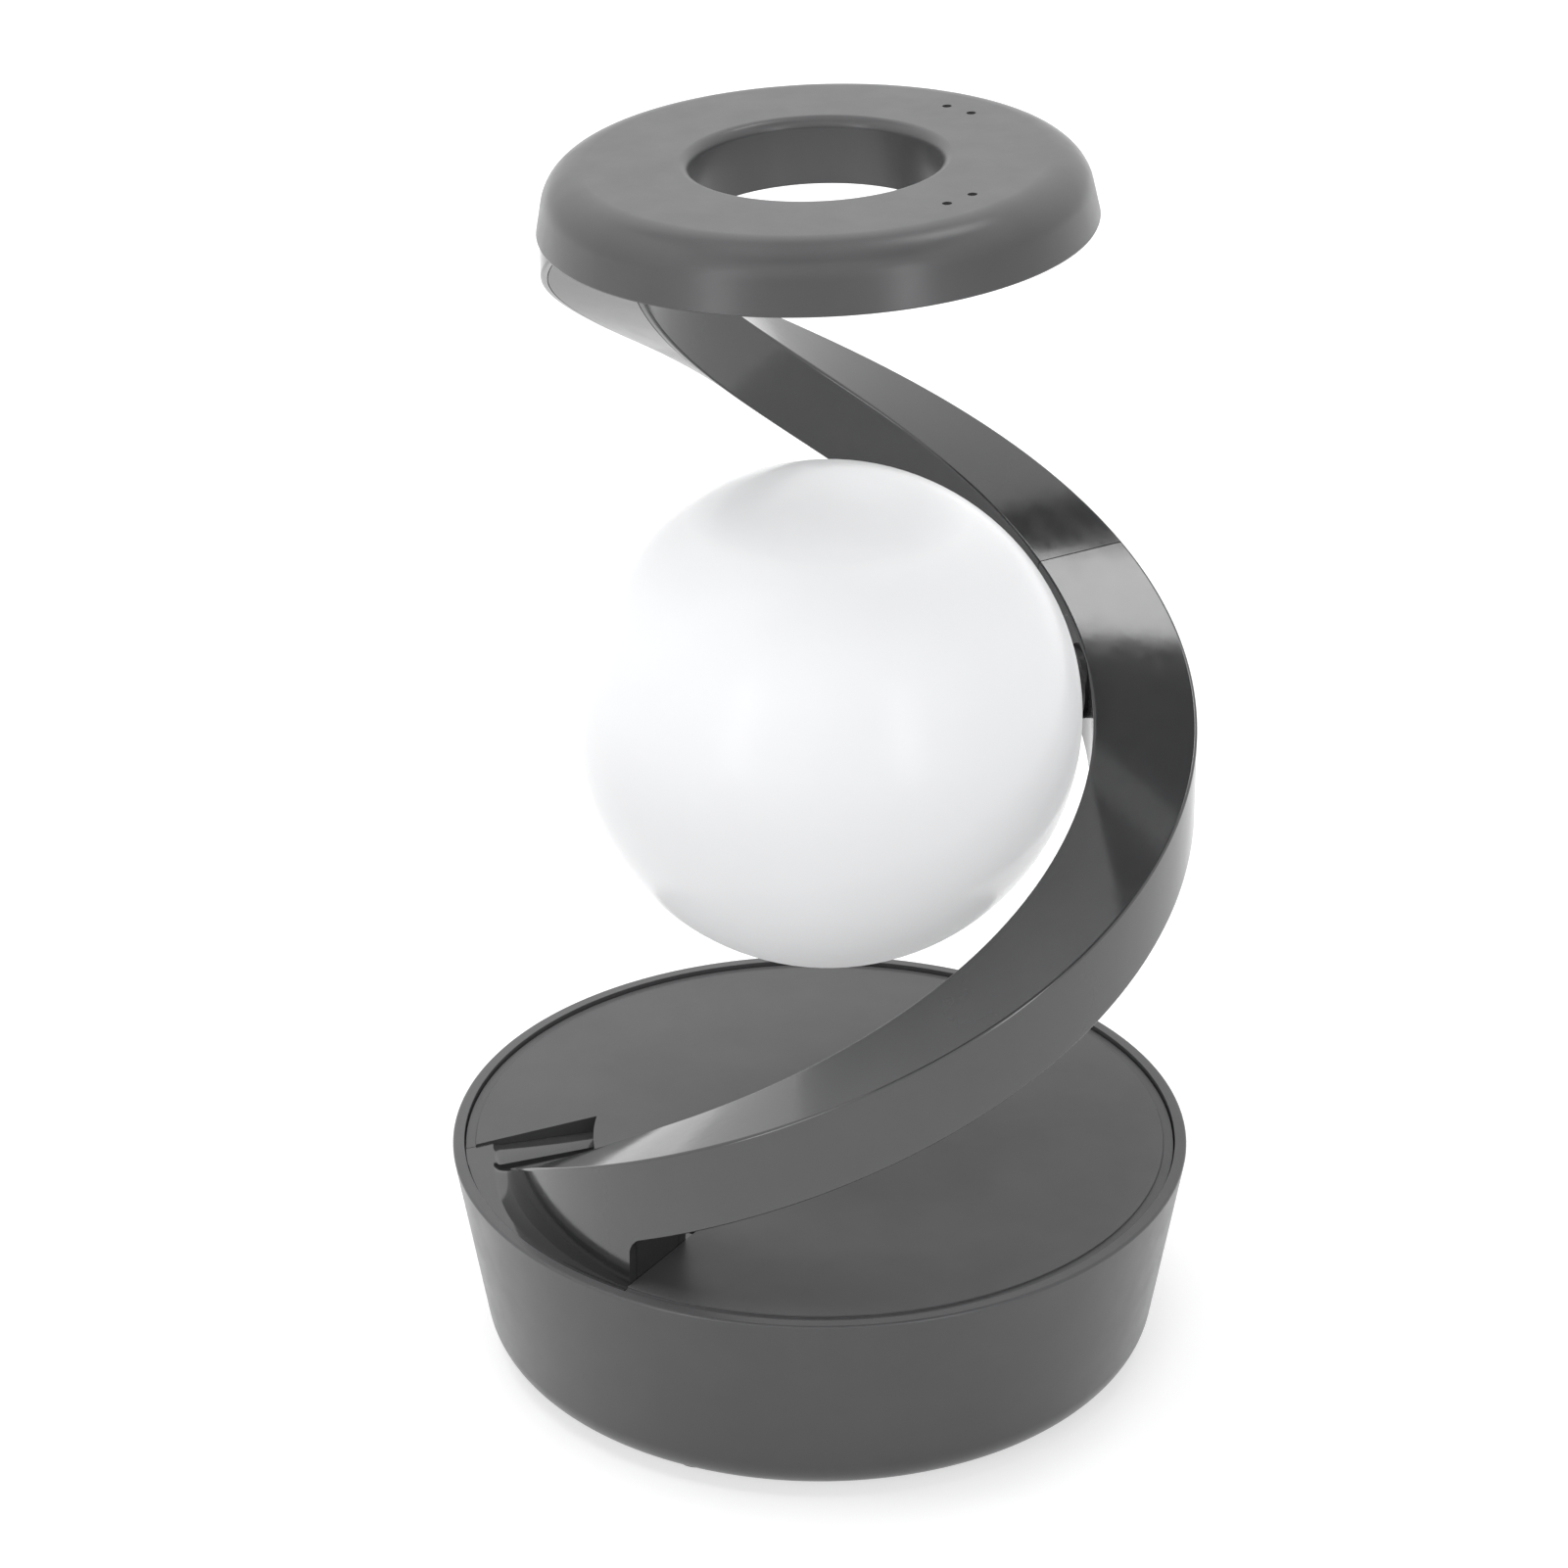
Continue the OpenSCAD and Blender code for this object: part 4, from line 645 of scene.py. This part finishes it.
def ramp_floor(s0, s1):
    """A grid of points over the ramp. It twists from the deck's straight edge to the step, is
    crowned a little and dies out softly at its outer end."""
    c0, c1 = np.array(polar(CUT_IN, CUT_AZ0)), np.array(polar(DECK_R, CUT_AZ1))
    run, reach = c0 - c1, RAMP_REACH * (s0 - s1)
    over = RAMP_OVER * np.array([-run[1], run[0]]) / np.linalg.norm(run)
    ends = [(c0 + RAMP_REACH * run + over, s0 + reach), (c1 + over, s1 - reach)]
    grid = []
    for u in np.linspace(0, 1, RAMP_GRID[0]):
        row = []
        for v in np.linspace(0, 1, RAMP_GRID[1]):
            x, y = between(ends, u, v)
            high = (1 - u) * RAMP_CROWN[0] + u * RAMP_CROWN[1]
            d = between(RAMP_DEPTH, u, v) - high * 4 * v * (1 - v)
            soft = smooth((RAMP_R + RAMP_FADE_OUT - math.hypot(x, y)) / RAMP_SOFT)
            row.append((x, y, DECK_Z - d * soft + RAMP_LIFT * (1 - soft)))
        grid.append(row)
    return grid


def ramp():
    """The start of the foot: a ramp that falls inwards to a step, and the arm's nose past it."""
    ob = prism("arm_foot_ramp", foot_plan(0, DECK_R, ROOT), SEAT, DECK_Z)
    s0, s1 = (np.array(polar(r, az)) for r, az in STEP_ENDS)
    carve(ob, slab("tool", ramp_floor(s0, s1), DECK_Z + CLEAR))

    # the nose is cut by a tilted plane, on the arm's side of the step and inside the hollow
    nose = top(ROOT)
    line = math.atan2(*(s0 - s1)[::-1])
    step = Matrix.Translation((*s1, 0)) @ Matrix.Rotation(line, 4, "Z")
    past_step = [(-TOOL, -TOOL), (TOOL, -TOOL), (TOOL, STEP_OVERLAP), (-TOOL, STEP_OVERLAP)]
    half, fall = MOAT_W / 2, (nose - FACE_MIN - DECK_Z) * 0.75      # to halfway over the hollow
    side = turned(ROOT, MOAT_R, DECK_Z, deg(math.atan(-half / fall)))
    inside = [(-TOOL, -TOOL), (0, -TOOL), (0, TOOL), (-TOOL, TOOL)]
    tool = half_space("tool", TOOL, turned(ROOT, 0, nose, 0, NOSE_TILT))
    carve(tool, prism("limit", past_step, -OUTSIDE, OUTSIDE, step), "INTERSECT")
    carve(tool, prism("limit", inside, -TOOL, TOOL, side), "INTERSECT")
    carve(ob, tool)
    dressed(ob, "arm", "stand")


# ---------------------------------------------------------------- ring
def ring():
    centre = (RING_R - RING_IN - SHOULDER, RING_H - SHOULDER)
    sleeve = HOLE_R + RING_WALL
    outline = [(HOLE_R, -SLEEVE_OUT + SLEEVE_EDGE), (HOLE_R + SLEEVE_EDGE, -SLEEVE_OUT),
               (sleeve - SLEEVE_EDGE, -SLEEVE_OUT), (sleeve, -SLEEVE_OUT + SLEEVE_EDGE),
               (sleeve, RING_H - RING_WALL), (centre[0], RING_H - RING_WALL)]
    outline += arc(*centre, SHOULDER - RING_WALL, 80, 0, 10)
    # the rim below, bevelled on both sides, then the flared side up to the shoulder
    bevel, rim_in = 0.3, RING_R - RING_WALL
    outline += [(rim_in, bevel), (rim_in + bevel, 0), (RING_R - 0.35, 0), (RING_R - 0.1, 0.1),
                (RING_R, 0.35)]
    outline += arc(*centre, SHOULDER, FLARE_END, 90, 26)
    # points on the flat keep its shading even
    outline += [(centre[0] - 2, RING_H), ((centre[0] + HOLE_R) / 2, RING_H)]
    outline += arc(sleeve, RING_H - RING_WALL, RING_WALL, 90, 180, 10)
    ob = lathe("ring_housing", outline, RING_AT)
    for az in PIN_AZ:
        carve(ob, rod("tool", *polar(PIN_AT, az), PIN_R, PIN_LOW, PIN_HIGH, 32, RING_AT))
    dressed(ob, "housing", "stand", "ring_cover")


# ---------------------------------------------------------------- stage, in metres
AIM = (0, 0, 0.12)                          # what lamps and panels face


def camera():
    """The camera that was fitted to the photo."""
    pitch, yaw, roll = 0.4626, -0.0024, -0.0031     # radians
    place = (-4.5334, -848.0768, 537.98)            # millimetres
    sensor, focal_px, photo_px = 36, 5243.94, 1601
    ahead = Vector((math.sin(yaw) * math.cos(pitch), math.cos(yaw) * math.cos(pitch),
                    -math.sin(pitch)))
    level = Vector((math.cos(yaw), -math.sin(yaw), 0))
    up = level.cross(ahead)
    right = level * math.cos(roll) + up * math.sin(roll)
    up = up * math.cos(roll) - level * math.sin(roll)
    m = Matrix((right, up, -ahead)).transposed().to_4x4()
    m.translation = Vector(place) * MM
    data = bpy.data.cameras.new("camera")
    data.sensor_width, data.lens = sensor, focal_px / photo_px * sensor
    data.clip_start, data.clip_end = 0.02, 60
    ob = bpy.data.objects.new("camera", data)
    bpy.context.scene.collection.objects.link(ob)
    ob.matrix_world = m
    bpy.context.scene.camera = ob


def seen(t):
    """1 for camera, glossy and transmission rays, 0 for the rest."""
    path = add(t, "ShaderNodeLightPath")
    a = add(t, "ShaderNodeMath", operation="MAXIMUM")
    b = add(t, "ShaderNodeMath", operation="MAXIMUM")
    t.links.new(path.outputs["Is Camera Ray"], a.inputs[0])
    t.links.new(path.outputs["Is Glossy Ray"], a.inputs[1])
    t.links.new(a.outputs[0], b.inputs[0])
    t.links.new(path.outputs["Is Transmission Ray"], b.inputs[1])
    return b.outputs[0]


def mixed(t, fac, off, on):
    """One shader where fac is 0, and another where it is 1."""
    mix = add(t, "ShaderNodeMixShader")
    for i, source in enumerate((fac, off, on)):
        t.links.new(source, mix.inputs[i])
    return mix.outputs[0]


def rectangle(name, w, h):
    me = bpy.data.meshes.new(name)
    x, y = w / 2, h / 2
    me.from_pydata([(-x, -y, 0), (x, -y, 0), (x, y, 0), (-x, y, 0)], [], [(0, 1, 2, 3)])
    return me


def facing(name, data, place, target):
    """An object of the stage at a place, facing a target."""
    ob = bpy.data.objects.new(name, data)
    bpy.context.scene.collection.objects.link(ob)
    ob.location = place
    ob.rotation_mode = "QUATERNION"
    ob.rotation_quaternion = (Vector(target) - Vector(place)).to_track_quat("-Z", "Y")
    return ob


def emitter(name, w, h, place, watts, glossy=True):
    """A soft box: an area lamp."""
    data = bpy.data.lights.new(name, "AREA")
    data.shape, data.size, data.size_y = "RECTANGLE", w, h
    data.energy = watts
    facing(name, data, place, AIM).visible_glossy = glossy


def flag(name, w, h, place, tone, target=AIM):
    """A studio panel, dark or bright, that only reflections see."""
    me = rectangle(name, w, h)
    ob = facing(name, me, place, target)
    m, t, p = nodes_of(name)
    t.nodes.remove(p)
    e = add(t, "ShaderNodeEmission", Strength=1.0)
    t.links.new(tinted(t, noise(t, 300), grey(tone), grey(tone * 1.3)), e.inputs["Color"])
    t.links.new(e.outputs[0], t.nodes["Material Output"].inputs["Surface"])
    me.materials.append(m)
    ob.visible_camera = ob.visible_diffuse = ob.visible_shadow = False
    ob.visible_transmission = ob.visible_volume_scatter = False


def surroundings():
    """A grey world that is white to camera, glossy and transmission rays."""
    w = bpy.data.worlds.new("studio")
    bpy.context.scene.world = w
    w.use_nodes = True
    t = w.node_tree
    grey_sky = t.nodes["Background"]
    grey_sky.inputs["Color"].default_value = (0.45, 0.45, 0.46, 1)
    white = add(t, "ShaderNodeBackground", Color=(1, 1, 1, 1), Strength=1.0)
    both = mixed(t, seen(t), grey_sky.outputs[0], white.outputs[0])
    t.links.new(both, t.nodes["World Output"].inputs["Surface"])


def ground():
    """A floor that keeps the shadow. It is white to camera, glossy and transmission rays, and
    clear from below, so the underside can be looked at."""
    me = rectangle("floor", 12, 12)
    floor = bpy.data.objects.new("floor", me)
    bpy.context.scene.collection.objects.link(floor)
    m, t, p = nodes_of("floor")
    p.inputs["Roughness"].default_value = 1.0
    p.inputs["Specular IOR Level"].default_value = 0.0
    t.links.new(tinted(t, noise(t, 40), (0.48, 0.48, 0.48), (0.50, 0.50, 0.50)),
                p.inputs["Base Color"])
    # the glow makes up for the lamps' fall-off away from the object
    glow = add(t, "ShaderNodeEmission", Color=(1, 1, 1, 1))
    far = add(t, "ShaderNodeVectorMath", operation="LENGTH")
    t.links.new(t.nodes["where"].outputs["Object"], far.inputs[0])
    t.links.new(ranged(t, far.outputs["Value"], 0.64, 1.0, 0.5, 1.5), glow.inputs["Strength"])
    lit = add(t, "ShaderNodeAddShader")
    t.links.new(p.outputs[0], lit.inputs[0])
    t.links.new(glow.outputs[0], lit.inputs[1])
    above = mixed(t, seen(t), p.outputs[0], lit.outputs[0])
    side = add(t, "ShaderNodeNewGeometry")
    clear = add(t, "ShaderNodeBsdfTransparent")
    both = mixed(t, side.outputs["Backfacing"], above, clear.outputs[0])
    t.links.new(both, t.nodes["Material Output"].inputs["Surface"])
    me.materials.append(m)


# ---------------------------------------------------------------- the whole scene
base()
deck()
arm()
ramp()
ring()
slots = {s["node"]: s["material_slot"] for s in frame["record"]["subparts"]}
slots.update({n: "black_steel" for n in BLACKENED})
for name, ob in frame["nodes"].items():
    ob.data.materials.clear()
    ob.data.materials.append(MATS[slots[name]])

camera()
surroundings()
ground()
emitter("top_soft_box", 1.4, 1.4, (-0.3, 0.1, 2.0), 34, glossy=False)
emitter("side_soft_box", 0.4, 0.36, (0.49, 0.39, 1.45), 2.3)
emitter("front_soft_box", 1.2, 0.8, (-0.6, -2.0, 1.6), 10, glossy=False)
flag("ceiling_flag", 1.9, 1.9, (0, 0.05, 1.6), 0.02)
flag("left_strip", 0.22, 1.0, (-0.79, -0.91, 0.45), 4, (0, 0, 0.45))
flag("right_strip", 0.22, 1.0, (0.675, -0.99, 0.45), 4, (0, 0, 0.45))

scene = bpy.context.scene
scene.view_settings.view_transform = "Standard"
